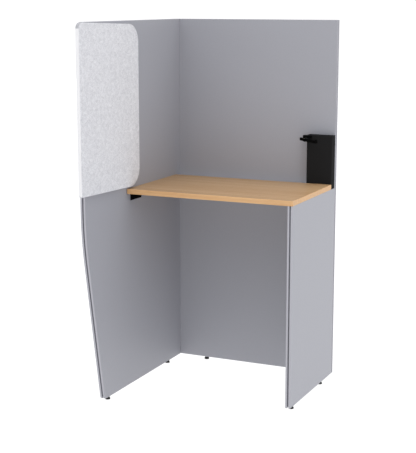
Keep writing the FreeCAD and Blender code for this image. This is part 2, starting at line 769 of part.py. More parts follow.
wing_outside = wing_form("wing_outside", "0", "Sizes.wing_thickness")
drill(wing_outside, "bolt_holes", "YZ_Plane", WING_SPOTS, BOLT_HOLE, "Sizes.wing_wrap")
wing_inside = wing_form("wing_inside", "Sizes.wing_wrap", "(Sizes.wing_thickness - 2 * Sizes.wing_wrap)")
place(wing_inside, "Sizes.wing_wrap")
wing_cover = doc.addObject("Part::Cut", "wing_cover_cut")
wing_cover.Base = wing_outside
wing_cover.Tool = wing_inside
place(wing_cover, LEFT_INNER, *WING_PLACE)
keep(wing_cover, "wing_cover")

wing_bolts = []
wing_sleeves = []
for number, (along, height) in enumerate(WING_BOLTS):
    spot = (f"({SIDE_FRONT} + {along})", f"({BASE} + {height})")
    shank = f"({PANEL} - {BOLT_SINK} + {WING_CORE_INSET} + Sizes.wing_sleeve_length * Sizes.thread_share)"
    steps = [
        ("Sizes.bolt_head_radius", "Sizes.bolt_radius", BOLT_SINK),
        ("Sizes.bolt_radius", "Sizes.bolt_radius", shank),
    ]
    wing_bolts.append(stack(f"wing_bolt{number}", (LEFT, *spot), "+x", steps))
    body = [("Sizes.sleeve_radius", "Sizes.sleeve_radius", "Sizes.wing_sleeve_length")]
    bore = (THREAD_BORE, "0", "Sizes.wing_sleeve_length")
    seat = (f"({LEFT_INNER} + {WING_CORE_INSET})", *spot)
    wing_sleeves.append(stack(f"wing_sleeve{number}", seat, "+x", body, bore))
keep_group("wing_bolts", wing_bolts)
keep_group("wing_sleeves", wing_sleeves)

# Tower: a back plate with folded flanges on the wall, and a folded cover screwed to its flanges
TOWER_X = f"({LEFT} + {TOWER_LEFT})"
TOWER_INNER_WIDTH = "(Sizes.tower_width - 2 * Sizes.tower_sheet)"
TOWER_INNER_HEIGHT = f"({TOWER_HEIGHT} - Sizes.tower_sheet - Sizes.tower_end_ease)"
COVER_ROWS = [
    "(2 * Sizes.tower_screw_inset)",
    f"({TOWER_HEIGHT} - 2 * Sizes.tower_screw_inset)",
]
COVER_SPOTS = [("-Sizes.tower_flange / 2", row) for row in COVER_ROWS]
SCREW_SINK = "(Sizes.screw_head_radius - Sizes.screw_radius)"

tower_plate = new_body("tower_back_plate")
plate_low = ("Sizes.tower_sheet", "-Sizes.tower_flange")
plate_high = ("(Sizes.tower_width - Sizes.tower_sheet)", "0")
pad(tower_plate, "blank", "XY_Plane", rectangle(plate_low, plate_high), TOWER_INNER_HEIGHT, "Sizes.tower_end_ease")
hollow_low = ("(2 * Sizes.tower_sheet)", "(-Sizes.tower_flange - Sizes.overrun)")
hollow_high = ("(Sizes.tower_width - 2 * Sizes.tower_sheet)", "-Sizes.tower_sheet")
pocket(
    tower_plate,
    "channel",
    "XY_Plane",
    [rectangle(hollow_low, hollow_high)],
    TOWER_INNER_HEIGHT,
    "Sizes.tower_end_ease",
)
plate_spots = [(f"({column})", f"({row})") for column in TOWER_SCREW_COLUMNS for row in TOWER_SCREW_ROWS]
drill(tower_plate, "wall_holes", "XZ_Plane", plate_spots, SCREW_HOLE, "Sizes.tower_sheet")
drill(tower_plate, "flange_holes", "YZ_Plane", COVER_SPOTS, PILOT_HOLE, "Sizes.tower_width")
place(tower_plate, TOWER_X, WALL, DESK_UNDER)
keep(tower_plate, "tower_back_plate")

tower_cover = new_body("tower_cover")
cover_low = ("0", "-Sizes.tower_depth")
cover_high = ("Sizes.tower_width", "0")
pad(tower_cover, "shell", "XY_Plane", rectangle(cover_low, cover_high), TOWER_HEIGHT)
round_edges(
    tower_cover,
    "front_bends",
    2,
    [cover_low, ("Sizes.tower_width", "-Sizes.tower_depth")],
    "Sizes.tower_bend_radius",
)
inner_low = ("Sizes.tower_sheet", "(-Sizes.tower_depth + Sizes.tower_sheet)")
inner_high = ("(Sizes.tower_width - Sizes.tower_sheet)", "Sizes.overrun")
pocket(
    tower_cover,
    "inside",
    "XY_Plane",
    [rectangle(inner_low, inner_high)],
    f"({TOWER_HEIGHT} - Sizes.tower_sheet)",
)
drill(tower_cover, "side_holes", "YZ_Plane", COVER_SPOTS, SCREW_HOLE, "Sizes.tower_width")
place(tower_cover, TOWER_X, WALL, DESK_UNDER)
keep(tower_cover, "tower_cover")

tower_screws = []
for column, row in plate_spots:
    head = f"({WALL} - Sizes.tower_sheet - Sizes.screw_head_height)"
    spot = (f"({TOWER_X} + {column})", head, f"({DESK_UNDER} + {row})")
    long = f"(Sizes.tower_sheet + {SKIN_BITE} - Sizes.thread_ease)"
    tower_screws.append(wood_screw(f"tower_wall_screw{len(tower_screws)}", spot, "+y", long))
keep_group("tower_wall_screws", tower_screws)

cover_screws = []
for row in COVER_ROWS:
    depth = f"({WALL} - Sizes.tower_flange / 2)"
    level = f"({DESK_UNDER} + {row})"
    long = "(3 * Sizes.tower_sheet)"
    for face, outward, direction in ((TOWER_X, "-", "+x"), (f"({TOWER_X} + Sizes.tower_width)", "+", "-x")):
        spot = (f"({face} {outward} Sizes.screw_head_height)", depth, level)
        cover_screws.append(wood_screw(f"tower_cover_screw{len(cover_screws)}", spot, direction, long))
keep_group("tower_cover_screws", cover_screws)

# Ear: a block on the tower's front at its top left corner, rounded about the hanger's pivot
PIVOT_X = f"({TOWER_X} - Sizes.ear_overhang)"
PIVOT_Y = f"({WALL} - Sizes.tower_depth - Sizes.ear_reach)"
EAR_UNDER = "(Sizes.tower_top - Sizes.ear_height)"
EAR_SCREWS = [
    ("(Sizes.ear_root_width / 2)", "(Sizes.ear_height / 2)"),
    ("(Sizes.ear_root_width - Sizes.screw_head_radius)", "(Sizes.ear_height / 2)"),
]
EAR_SCREW_DEPTH = "(Sizes.ear_reach / 2)"

ear = new_body("hanger_ear")
ear_low = ("-Sizes.ear_radius", "-Sizes.ear_radius")
ear_corners = rectangle(ear_low, ("Sizes.ear_root_width", "Sizes.ear_reach"))
pad(ear, "block", "XY_Plane", ear_corners, "Sizes.ear_height")
round_edges(ear, "nose", 2, [ear_low], "Sizes.ear_radius")
nose_corner = ("Sizes.ear_root_width", "-Sizes.ear_radius")
round_edges(ear, "shoulder", 2, [nose_corner], "Sizes.ear_radius")
drill(ear, "pivot_thread", "XY_Plane", [("0", "0")], THREAD_BORE, "(Sizes.ear_height * Sizes.thread_share)")
drill(ear, "screw_threads", "XZ_Plane", EAR_SCREWS, PILOT_HOLE, EAR_SCREW_DEPTH, "-Sizes.ear_reach")
place(ear, PIVOT_X, PIVOT_Y, EAR_UNDER)
keep(ear, "hanger_ear")

EAR_ON_COVER = [
    (f"({x} - Sizes.ear_overhang)", f"({TOWER_HEIGHT} - Sizes.ear_height + {z})") for x, z in EAR_SCREWS
]
drill(
    tower_cover,
    "ear_holes",
    "XZ_Plane",
    EAR_ON_COVER,
    SCREW_HOLE,
    "Sizes.tower_sheet",
    "(Sizes.tower_depth - Sizes.tower_sheet)",
)
ear_screws = []
for x, z in EAR_SCREWS:
    head = f"({WALL} - Sizes.tower_depth + Sizes.tower_sheet + Sizes.screw_head_height)"
    spot = (f"({PIVOT_X} + {x})", head, f"({EAR_UNDER} + {z})")
    long = f"(Sizes.tower_sheet + {EAR_SCREW_DEPTH} * Sizes.thread_share)"
    ear_screws.append(wood_screw(f"ear_screw{len(ear_screws)}", spot, "-y", long))
keep_group("hanger_ear_screws", ear_screws)

# Hanger bar: round at its tail, which stops it at the tower, with a raised lip at its free end
HANGER_TURN = -40
HANGER_TOP = f"({EAR_UNDER} - Sizes.hanger_washer)"
HALF_BAR = "(Sizes.hanger_width / 2)"

hanger = new_body("hanger_bar")
bar_low = ("-Sizes.hanger_tail", f"-{HALF_BAR}")
bar_corners = rectangle(bar_low, ("Sizes.hanger_length", HALF_BAR))
lip_rise = "(Sizes.hanger_height + Sizes.hanger_lip_rise)"
pad(hanger, "bar", "XY_Plane", bar_corners, lip_rise)
above_bar = rectangle(
    ("(-Sizes.hanger_tail - Sizes.overrun)", "Sizes.hanger_height"),
    ("(Sizes.hanger_length - Sizes.hanger_lip_depth)", f"({lip_rise} + Sizes.overrun)"),
)
pocket(hanger, "bar_top", "XZ_Plane", [above_bar], "Sizes.hanger_width", f"-{HALF_BAR}")
tail_corners = [bar_low, ("-Sizes.hanger_tail", HALF_BAR)]
round_edges(hanger, "tail", 2, tail_corners, f"({HALF_BAR} - Sizes.thread_ease)")
tip_corners = [("Sizes.hanger_length", f"-{HALF_BAR}"), ("Sizes.hanger_length", HALF_BAR)]
round_edges(hanger, "tip", 2, tip_corners, "Sizes.hanger_edge_radius")
drill(hanger, "pivot_bore", "XY_Plane", [("0", "0")], THREAD_BORE, "Sizes.hanger_height")
turned_out = FreeCAD.Rotation(FreeCAD.Vector(0, 0, 1), HANGER_TURN)
place(hanger, PIVOT_X, PIVOT_Y, f"({HANGER_TOP} - Sizes.hanger_height)", turned_out)
keep(hanger, "hanger_bar")

washer = stack(
    "hanger_washer_blank",
    (PIVOT_X, PIVOT_Y, HANGER_TOP),
    "+z",
    [("Sizes.hanger_washer_radius", "Sizes.hanger_washer_radius", "Sizes.hanger_washer")],
    (THREAD_BORE, "0", "Sizes.hanger_washer"),
)
keep(washer, "hanger_washer")

pivot_head = f"({HANGER_TOP} - Sizes.hanger_height - Sizes.screw_head_height)"
pivot_shank = "(Sizes.hanger_height + Sizes.hanger_washer + Sizes.ear_height * Sizes.thread_share - Sizes.thread_ease)"
pivot_screw = stack(
    "hanger_pivot_blank",
    (PIVOT_X, PIVOT_Y, pivot_head),
    "+z",
    [
        ("Sizes.bolt_head_radius", "Sizes.bolt_head_radius", "Sizes.screw_head_height"),
        ("Sizes.bolt_radius", "Sizes.bolt_radius", pivot_shank),
    ],
)
keep(pivot_screw, "hanger_pivot_screw")

# Levelling feet: a pad moulded on a threaded stem, in a flanged sleeve in the panel's lower edge
SIDE_FOOT_X = f"({LEFT} + {HALF_PANEL})"
LOW_FOOT_X = f"({RIGHT} - {HALF_PANEL})"
BACK_FOOT_Y = f"({REAR} - {HALF_PANEL})"
FEET = {
    "left_front": (SIDE_FOOT_X, f"({SIDE_FRONT} + {SIDE_FEET[0]})"),
    "left_rear": (SIDE_FOOT_X, f"({SIDE_FRONT} + {SIDE_FEET[1]})"),
    "back_left": (f"({LEFT} + {BACK_FEET[0]})", BACK_FOOT_Y),
    "back_right": (f"({LEFT} + {BACK_FEET[1]})", BACK_FOOT_Y),
    "right_front": (LOW_FOOT_X, f"({LOW_FRONT} + {LOW_FEET[0]})"),
    "right_rear": (LOW_FOOT_X, f"({LOW_FRONT} + {LOW_FEET[1]})"),
}
STEM_BORE = "(Sizes.foot_stem_radius + Sizes.thread_ease)"
foot_sleeves = []
for corner, (x, y) in FEET.items():
    pad_steps = [
        ("Sizes.foot_pad_radius", "Sizes.foot_pad_radius", "Sizes.foot_pad_rim"),
        ("Sizes.foot_pad_radius", "Sizes.foot_neck_radius", "(Sizes.foot_pad_height - Sizes.foot_pad_rim)"),
    ]
    socket = (STEM_BORE, "Sizes.foot_stem_seat", "(Sizes.foot_pad_height - Sizes.foot_stem_seat)")
    keep(stack(f"{corner}_pad_blank", (x, y, "0"), "+z", pad_steps, socket), f"foot_pad_{corner}")
    stem = [("Sizes.foot_stem_radius", "Sizes.foot_stem_radius", "Sizes.foot_stem_length")]
    seat = (x, y, "Sizes.foot_stem_seat")
    keep(stack(f"{corner}_stem_blank", seat, "+z", stem), f"foot_stem_{corner}")
    sleeve_steps = [
        ("Sizes.foot_sleeve_flange_radius", "Sizes.foot_sleeve_flange_radius", "Sizes.foot_sleeve_flange"),
        ("Sizes.foot_sleeve_radius", "Sizes.foot_sleeve_radius", "Sizes.foot_sleeve_length"),
    ]
    through = (STEM_BORE, "0", "(Sizes.foot_sleeve_flange + Sizes.foot_sleeve_length)")
    under = (x, y, "Sizes.foot_pad_height")
    foot_sleeves.append(stack(f"{corner}_foot_sleeve", under, "+z", sleeve_steps, through))
keep_group("foot_sleeves", foot_sleeves)

# Test every object, then write one file for each sub-part
doc.recompute()
for item in doc.Objects:
    faults = [state for state in item.State if state in ("Invalid", "Error")]
    if faults:
        raise RuntimeError(f"{item.Label} is {faults}")
for part in SUB_PARTS:
    if part.Shape.isNull() or not part.Shape.isValid() or not part.Shape.Solids:
        raise RuntimeError(f"{part.Label} has no valid shape")

os.makedirs("parts", exist_ok=True)
for part in SUB_PARTS:
    part.Shape.exportStep(os.path.join("parts", f"{part.Label}.step"))
    print(part.Label, len(part.Shape.Solids), round(part.Shape.Volume))
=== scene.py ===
import logging
import math
from dataclasses import dataclass
from enum import Enum
from typing import Callable, Sequence

import bmesh
import bpy
from bpy.types import ID, Material, Node, NodeOutputs, NodeSocket, NodeTree, Object
from mathutils import Matrix, Vector


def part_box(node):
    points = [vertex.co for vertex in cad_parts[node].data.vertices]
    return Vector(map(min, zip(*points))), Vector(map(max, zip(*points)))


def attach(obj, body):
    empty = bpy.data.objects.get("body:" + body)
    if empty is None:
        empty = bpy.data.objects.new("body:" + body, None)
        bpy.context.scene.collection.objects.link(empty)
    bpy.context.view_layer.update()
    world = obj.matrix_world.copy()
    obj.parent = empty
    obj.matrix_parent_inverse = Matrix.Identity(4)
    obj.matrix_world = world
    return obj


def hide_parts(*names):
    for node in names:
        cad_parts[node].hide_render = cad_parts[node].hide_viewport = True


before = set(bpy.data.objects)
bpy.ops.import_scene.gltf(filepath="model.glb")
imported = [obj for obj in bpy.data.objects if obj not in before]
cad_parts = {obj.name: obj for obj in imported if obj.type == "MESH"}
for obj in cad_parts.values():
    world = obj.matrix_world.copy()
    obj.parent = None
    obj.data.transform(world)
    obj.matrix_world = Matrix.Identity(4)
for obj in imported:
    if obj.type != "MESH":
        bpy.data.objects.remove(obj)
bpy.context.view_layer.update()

MM = 0.001
LEAST_RADIUS = 0.05 * MM
SAME_SPOT = 0.001 * MM
CUT_CORNER = 0.5 * MM
log = logging.getLogger("standing_booth")

# Sockets of a colour mix, which bear the same names as those of its other kinds
SHARE = 0
FIRST = 6
SECOND = 7
MIXED = 2

Point = tuple[float, float]
Ring = tuple[list[Point], float]
Rgba = tuple[float, float, float, float]
Put = Callable[[float, float, float], Vector]
Inputs = dict[str | int, object]


class Across(Enum):
    """The row axis that a slab's thickness runs along, as its index."""

    X = 0
    Y = 1
    Z = 2

    def place(self, u: float, v: float, w: float) -> Vector:
        """Put a flat point (u, v) at depth w into the row frame."""
        return Vector({Across.X: (w, u, v), Across.Y: (u, w, v), Across.Z: (u, v, w)}[self])

    def flat(self, spot: Vector) -> Vector:
        """Read a place in the row frame as a flat point with its depth."""
        return {Across.X: spot.yzx, Across.Y: spot.xzy, Across.Z: spot.xyz}[self]


class Drive(Enum):
    """The recess in a fastener's head, as the number of its sides."""

    HEX = 6
    SQUARE = 4


class Facing(Enum):
    """The way that a fastener's head faces, as a row axis and a sign."""

    LEFT = (Across.X, -1)
    RIGHT = (Across.X, 1)
    REAR = (Across.Y, 1)
    DOWN = (Across.Z, -1)

    def __init__(self, axis: Across, sign: int) -> None:
        """Keep the axis and the sign apart."""
        self.axis = axis
        self.sign = sign

    def way(self) -> Vector:
        """Return the facing as a direction in the row frame."""
        return self.axis.place(0.0, 0.0, self.sign)


class Half(Enum):
    """The half of a node whose solids count, as the sign of X from its middle."""

    LEFT = -1
    BOTH = 0
    RIGHT = 1


@dataclass(frozen=True)
class Corner:
    """A corner of a convex outline, counter-clockwise, with its rounding, in metres."""

    u: float
    v: float
    radius: float = CUT_CORNER


def linear(code: str) -> Rgba:
    """Turn an sRGB hex colour into linear values.

    Args:
        code: The colour, as a hash and six digits.

    Returns:
        Linear red, green and blue, and full opacity.
    """
    parts = [int(code[i : i + 2], 16) / 255 for i in (1, 3, 5)]
    flat = [c / 12.92 if c <= 0.04045 else ((c + 0.055) / 1.055) ** 2.4 for c in parts]
    return (flat[0], flat[1], flat[2], 1.0)


def set_inputs(node: Node, inputs: Inputs) -> None:
    """Set a node's inputs, or link them.

    Args:
        node: The node.
        inputs: Input name or index to a value or to another node's output.
    """
    for key, source in inputs.items():
        if isinstance(source, NodeSocket):
            node.id_data.links.new(source, node.inputs[key])
        else:
            node.inputs[key].default_value = source


def add_node(
    tree: NodeTree, kind: str, inputs: Inputs | None = None, **settings: object
) -> Node:
    """Add a node with its settings, and set or link its inputs.

    Args:
        tree: The node tree that takes the node.
        kind: The node's type name.
        inputs: Input name or index to a value or to another node's output.
        settings: Properties of the node itself.

    Returns:
        The new node.
    """
    node = tree.nodes.new(kind)
    for name, setting in settings.items():
        setattr(node, name, setting)
    set_inputs(node, inputs or {})
    return node


def start_finish(name: str) -> tuple[Material, NodeTree, Node, NodeSocket]:
    """Start a material.

    Args:
        name: The material's name.

    Returns:
        The material, its tree, its shader and the piece's own coordinates.
    """
    made = bpy.data.materials.new(name)
    made.use_nodes = True
    tree = made.node_tree
    spot = add_node(tree, "ShaderNodeTexCoord").outputs["Object"]
    return made, tree, tree.nodes["Principled BSDF"], spot


def oblong(low: Vector, high: Vector, radii: Sequence[float] = (CUT_CORNER,) * 4) -> list[Corner]:
    """Return a rectangle's corners, counter-clockwise from its lowest one."""
    spots = ((low.x, low.y), (high.x, low.y), (high.x, high.y), (low.x, high.y))
    return [Corner(u, v, radius) for (u, v), radius in zip(spots, radii)]


def rounded(corners: Sequence[Corner], inset: float = 0.0, steps: int = 10) -> list[Point]:
    """Draw a convex outline with rounded corners, set in from its edges.

    Args:
        corners: The outline's corners, counter-clockwise.
        inset: How far the edges move inwards, in metres.
        steps: Chords in each corner's arc.

    Returns:
        The outline's points, counter-clockwise, always the same number for the same corners.
    """
    count = len(corners)
    places = [Vector((c.u, c.v)) for c in corners]
    ways = [(places[(i + 1) % count] - places[i]).normalized() for i in range(count)]
    inward = [Vector((-way.y, way.x)) for way in ways]
    points: list[Point] = []
    for i, corner in enumerate(corners):
        way_in, way_out = ways[i - 1], ways[i]
        normal_in, normal_out = inward[i - 1], inward[i]
        turn = math.acos(max(-1.0, min(1.0, way_in.dot(way_out))))
        tip = places[i] + (normal_in + normal_out) * (inset / (1 + normal_in.dot(normal_out)))
        radius = max(corner.radius - inset, LEAST_RADIUS)
        start = tip - way_in * (radius * math.tan(turn / 2))
        centre = start + normal_in * radius
        for k in range(steps + 1):
            spoke = Matrix.Rotation(turn * k / steps, 2) @ (-normal_in * radius)
            points.append((centre.x + spoke.x, centre.y + spoke.y))
    return points


def eased(corners: Sequence[Corner], low: float, high: float, ease: float, steps: int = 3) -> list[Ring]:
    """Stack the rings of a slab whose arrises are rounded.

    Args:
        corners: The slab's outline.
        low: Where its thickness starts.
        high: Where its thickness ends.
        ease: Radius of the arrises, in metres.
        steps: Chords in each quarter of an arris.

    Returns:
        Rings from low to high.
    """
    quarter = [math.pi / 2 * k / steps for k in range(steps + 1)]
    lower = [(rounded(corners, ease * (1 - math.sin(a))), low + ease * (1 - math.cos(a))) for a in quarter]
    upper = [(ring, low + high - level) for ring, level in reversed(lower)]
    return lower + upper


def loft(name: str, rings: Sequence[Ring], put: Put, hollow: bool = False) -> Object:
    """Skin a stack of rings into one closed mesh.

    Args:
        name: The new object's name.
        rings: Outlines with the same number of points, each with its level.
        put: Turns a point and a level into a place in the row frame.
        hollow: Whether the last ring is joined to the first, instead of both being capped.

    Returns:
        The object, at the origin, with its place in its mesh.
    """
    shape = bmesh.new()
    loops = [[shape.verts.new(put(u, v, level)) for u, v in ring] for ring, level in rings]
    after = loops[1:] + loops[:1] if hollow else loops[1:]
    for lower, upper in zip(loops, after):
        for i in range(len(lower)):
            shape.faces.new((lower[i - 1], lower[i], upper[i], upper[i - 1]))
    if not hollow:
        shape.faces.new(list(reversed(loops[0])))
        shape.faces.new(loops[-1])
    return settle(name, shape)


def show(name: str, data: ID) -> Object:
    """Make an object of a mesh, a lamp or a camera, and link it to the scene.

    Args:
        name: The new object's name.
        data: What it shows.

    Returns:
        The object.
    """
    made = bpy.data.objects.new(name, data)
    bpy.context.scene.collection.objects.link(made)
    return made


def settle(name: str, shape: bmesh.types.BMesh, sharp: float = 35.0) -> Object:
    """Turn a finished shape into a smooth-shaded object with its faces outwards.

    Args:
        name: The new object's name.
        shape: The shape, which is freed.
        sharp: Edges that turn by more degrees than this stay sharp.

    Returns:
        The object, linked to the scene.
    """
    bmesh.ops.recalc_face_normals(shape, faces=shape.faces[:])
    mesh = bpy.data.meshes.new(name)
    shape.to_mesh(mesh)
    shape.free()
    mesh.shade_smooth()
    mesh.set_sharp_from_angle(angle=math.radians(sharp))
    piece = show(name, mesh)
    weighted = piece.modifiers.new("even_shading", "WEIGHTED_NORMAL")
    weighted.keep_sharp = True
    return piece


def mark(piece: Object, name: str, rings: range, shares: Sequence[float]) -> None:
    """Mark a lofted piece's rim, or a stretch of it, for its finish.

    Args:
        piece: The lofted piece.
        name: The attribute that the finish reads.
        rings: The rings that lie on the rim.
        shares: How strongly each point of a ring is marked, from 0 to 1.
    """
    marks = piece.data.attributes.new(name, "FLOAT", "POINT")
    for i, point in enumerate(marks.data):
        ring, spot = divmod(i, len(shares))
        point.value = shares[spot] if ring in rings else 0.0


def join(name: str, parts: Sequence[Object]) -> Object:
    """Put several new pieces into one mesh.

    Args:
        name: The new object's name.
        parts: The pieces, which are removed.

    Returns:
        The new object.
    """
    shape = bmesh.new()
    for part in parts:
        shape.from_mesh(part.data)
    for part in parts:
        bpy.data.objects.remove(part)
    return settle(name, shape)


def solids(node: str) -> list[list[Vector]]:
    """Sort the points of a node's mesh by the solid that they belong to.

    Args:
        node: A node of the frame, whose mesh is loose triangles.

    Returns:
        The points of each of its solids.
    """
    shape = bmesh.new()
    shape.from_mesh(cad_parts[node].data)
    bmesh.ops.remove_doubles(shape, verts=shape.verts[:], dist=SAME_SPOT)
    found: list[list[Vector]] = []
    seen: set[bmesh.types.BMVert] = set()
    for start in shape.verts:
        if start in seen:
            continue
        seen.add(start)
        grow = [start]
        points: list[Vector] = []
        while grow:
            vert = grow.pop()
            points.append(vert.co.copy())
            near = [other for edge in vert.link_edges for other in edge.verts if other not in seen]
            seen.update(near)
            grow.extend(near)
        found.append(points)
    shape.free()
    return found


def start_tree(name: str, kinds: dict[str, str]) -> tuple[NodeTree, NodeOutputs]:
    """Start a node tree that sets a shape on every point of a mesh.

    Args:
        name: The tree's name.
        kinds: The names of its own inputs, with their socket types.

    Returns:
        The tree, and the sockets that its inputs arrive at.
    """
    tree = bpy.data.node_groups.new(name, "GeometryNodeTree")
    tree.interface.new_socket("Geometry", in_out="OUTPUT", socket_type="NodeSocketGeometry")
    for label, kind in {"Spots": "NodeSocketGeometry", **kinds, "Finish": "NodeSocketMaterial"}.items():
        tree.interface.new_socket(label, in_out="INPUT", socket_type=kind)
    return tree, add_node(tree, "NodeGroupInput").outputs


def end_tree(tree: NodeTree, feed: NodeOutputs, placing: Inputs) -> None:
    """End a node tree: set the shape on the points, make the copies real and dress them.

    Args:
        tree: The tree.
        feed: The sockets that its inputs arrive at.
        placing: The shape, and its rotation where it has one.
    """
    placed = add_node(tree, "GeometryNodeInstanceOnPoints", {"Points": feed["Spots"], **placing})
    real = add_node(tree, "GeometryNodeRealizeInstances", {"Geometry": placed.outputs["Instances"]})
    finish = {"Geometry": real.outputs["Geometry"], "Material": feed["Finish"]}
    dressed = add_node(tree, "GeometryNodeSetMaterial", finish)
    add_node(tree, "NodeGroupOutput", {"Geometry": dressed.outputs["Geometry"]})


def scatter(name: str, spots: Sequence[Vector], tree: NodeTree, values: Inputs) -> Object:
    """Run a node tree on a set of points and keep what it makes as a plain mesh.

    Args:
        name: The new object's name.
        spots: The points.
        tree: The node tree.
        values: Its inputs' names, with their values.

    Returns:
        The object, without its modifier.
    """
    mesh = bpy.data.meshes.new(name)
    mesh.from_pydata([tuple(spot) for spot in spots], [], [])
    piece = show(name, mesh)
    modifier = piece.modifiers.new("scatter", "NODES")
    modifier.node_group = tree
    for socket in tree.interface.items_tree:
        if socket.name in values:
            modifier[socket.identifier] = values[socket.name]
    graph = bpy.context.evaluated_depsgraph_get()
    baked = bpy.data.meshes.new_from_object(piece.evaluated_get(graph), depsgraph=graph)
    piece.modifiers.clear()
    piece.data = baked
    baked.name = name
    return piece


def dress(piece: Object, material: Material) -> None:
    """Give a piece, or a node of the frame, one material.

    Args:
        piece: The piece or node.
        material: Its finish.
    """
    if not piece.material_slots:
        piece.data.materials.append(material)
    for place in piece.material_slots:
        place.link = "OBJECT"
        place.material = material
    log.info("%s in %s", piece.name, material.name)


def dress_nodes(material: Material, *nodes: str) -> None:
    """Give nodes of the frame that stay in sight one material.

    Args:
        material: Their finish.
        nodes: Their names.
    """
    for node in nodes:
        dress(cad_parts[node], material)


def carry(piece: Object, body: str, nodes: Sequence[str] = ()) -> None:
    """Let a finished piece ride on its body and stand for its nodes.

    Args:
        piece: The new piece.
        body: The body that carries it.
        nodes: The nodes that it stands for, if any.
    """
    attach(piece, body)
    if nodes:
        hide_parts(*nodes)
    log.info("%s on %s for %s", piece.name, body, ", ".join(nodes) or "detail only")


@dataclass(frozen=True)
class GrainedFinish:
    """A finish with one grain, which runs between two shades and may break up its gloss and its surface."""

    name: str
    shade: str
    tint: str
    grain: float = 1 * MM
    detail: float = 2.0
    run: float = 1.0
    relief: float = 0.0
    depth: float = 0.2 * MM
    roughness: float = 0.5
    gloss_spread: float = 0.0
    metallic: float = 0.0
    specular: float = 0.5

    def material(self) -> Material:
        """Build the finish's material.

        Returns:
            The material, with its grain drawn out along Z where its run is below 1.
        """
        made, tree, shader, spot = start_finish(self.name)
        stretch = {"Vector": spot, "Scale": (1.0, 1.0, self.run)}
        along = add_node(tree, "ShaderNodeMapping", stretch).outputs["Vector"]
        noise = {"Vector": along, "Scale": 1 / self.grain, "Detail": self.detail}
        grain = add_node(tree, "ShaderNodeTexNoise", noise).outputs["Fac"]
        colours = {SHARE: grain, FIRST: linear(self.shade), SECOND: linear(self.tint)}
        mixed = add_node(tree, "ShaderNodeMix", colours, data_type="RGBA")
        surface = {
            "Base Color": mixed.outputs[MIXED],
            "Metallic": self.metallic,
            "Roughness": self.roughness,
            "Specular IOR Level": self.specular,
        }
        if self.gloss_spread:
            low, high = self.roughness - self.gloss_spread, self.roughness + self.gloss_spread
            gloss = add_node(tree, "ShaderNodeMapRange", {"Value": grain, "To Min": low, "To Max": high})
            surface["Roughness"] = gloss.outputs["Result"]
        if self.relief:
            relief = {"Height": grain, "Strength": self.relief, "Distance": self.depth}
            bump = add_node(tree, "ShaderNodeBump", relief)
            surface["Normal"] = bump.outputs["Normal"]
        set_inputs(shader, surface)
        return made


@dataclass(frozen=True)
class MelamineBoard:
    """Melamine-faced board: a pressed paper print, even and matt, with a faint pearl and a paler edge, partly
    a lighter edge band and partly a painted highlight.
    """

    shade: str = "#9B9CA4"
    fleck: str = "#A2A3AB"
    # Paler edge colour: partly a lighter edge band, partly a painted highlight of the light on the edges
    edge: str = "#A9A9B1"
    fleck_size: float = 6 * MM
    fleck_detail: float = 4.0
    pearl_size: float = 1.2 * MM
    pearl_detail: float = 2.0
    pearl_relief: float = 0.08
    pearl_depth: float = 0.3 * MM
    roughness: float = 0.5
    gloss_spread: float = 0.08

    def material(self) -> Material:
        """Build the board's material.

        Returns:
            The material, which paints the rim that is marked on a piece paler, as an edge band and a painted
            highlight.
        """
        made, tree, shader, spot = start_finish("melamine_board")
        grain = {"Vector": spot, "Scale": 1 / self.fleck_size, "Detail": self.fleck_detail}
        fleck = add_node(tree, "ShaderNodeTexNoise", grain).outputs["Fac"]
        colours = {SHARE: fleck, FIRST: linear(self.shade), SECOND: linear(self.fleck)}
        printed = add_node(tree, "ShaderNodeMix", colours, data_type="RGBA")
        # Paint the marked edges paler: an edge band and a painted highlight
        rim = add_node(tree, "ShaderNodeAttribute", attribute_name="rim").outputs["Fac"]
        colours = {SHARE: rim, FIRST: printed.outputs[MIXED], SECOND: linear(self.edge)}
        banded = add_node(tree, "ShaderNodeMix", colours, data_type="RGBA")
        grain = {"Vector": spot, "Scale": 1 / self.pearl_size, "Detail": self.pearl_detail}
        pearl = add_node(tree, "ShaderNodeTexNoise", grain).outputs["Fac"]
        span = {"To Min": self.roughness - self.gloss_spread, "To Max": self.roughness + self.gloss_spread}
        gloss = add_node(tree, "ShaderNodeMapRange", {"Value": pearl, **span})
        relief = {"Height": pearl, "Strength": self.pearl_relief, "Distance": self.pearl_depth}
        bump = add_node(tree, "ShaderNodeBump", relief)
        surface = {
            "Base Color": banded.outputs[MIXED],
            "Roughness": gloss.outputs["Result"],
            "Normal": bump.outputs["Normal"],
        }
        set_inputs(shader, surface)
        return made


@dataclass(frozen=True)
class StainedBatten(GrainedFinish):
    """Softwood, stained grey or left raw: coarse grain along its length, no gloss."""

    grain: float = 3 * MM
    detail: float = 5.0
    run: float = 0.06
    relief: float = 0.3
    depth: float = 1 * MM
    roughness: float = 0.8


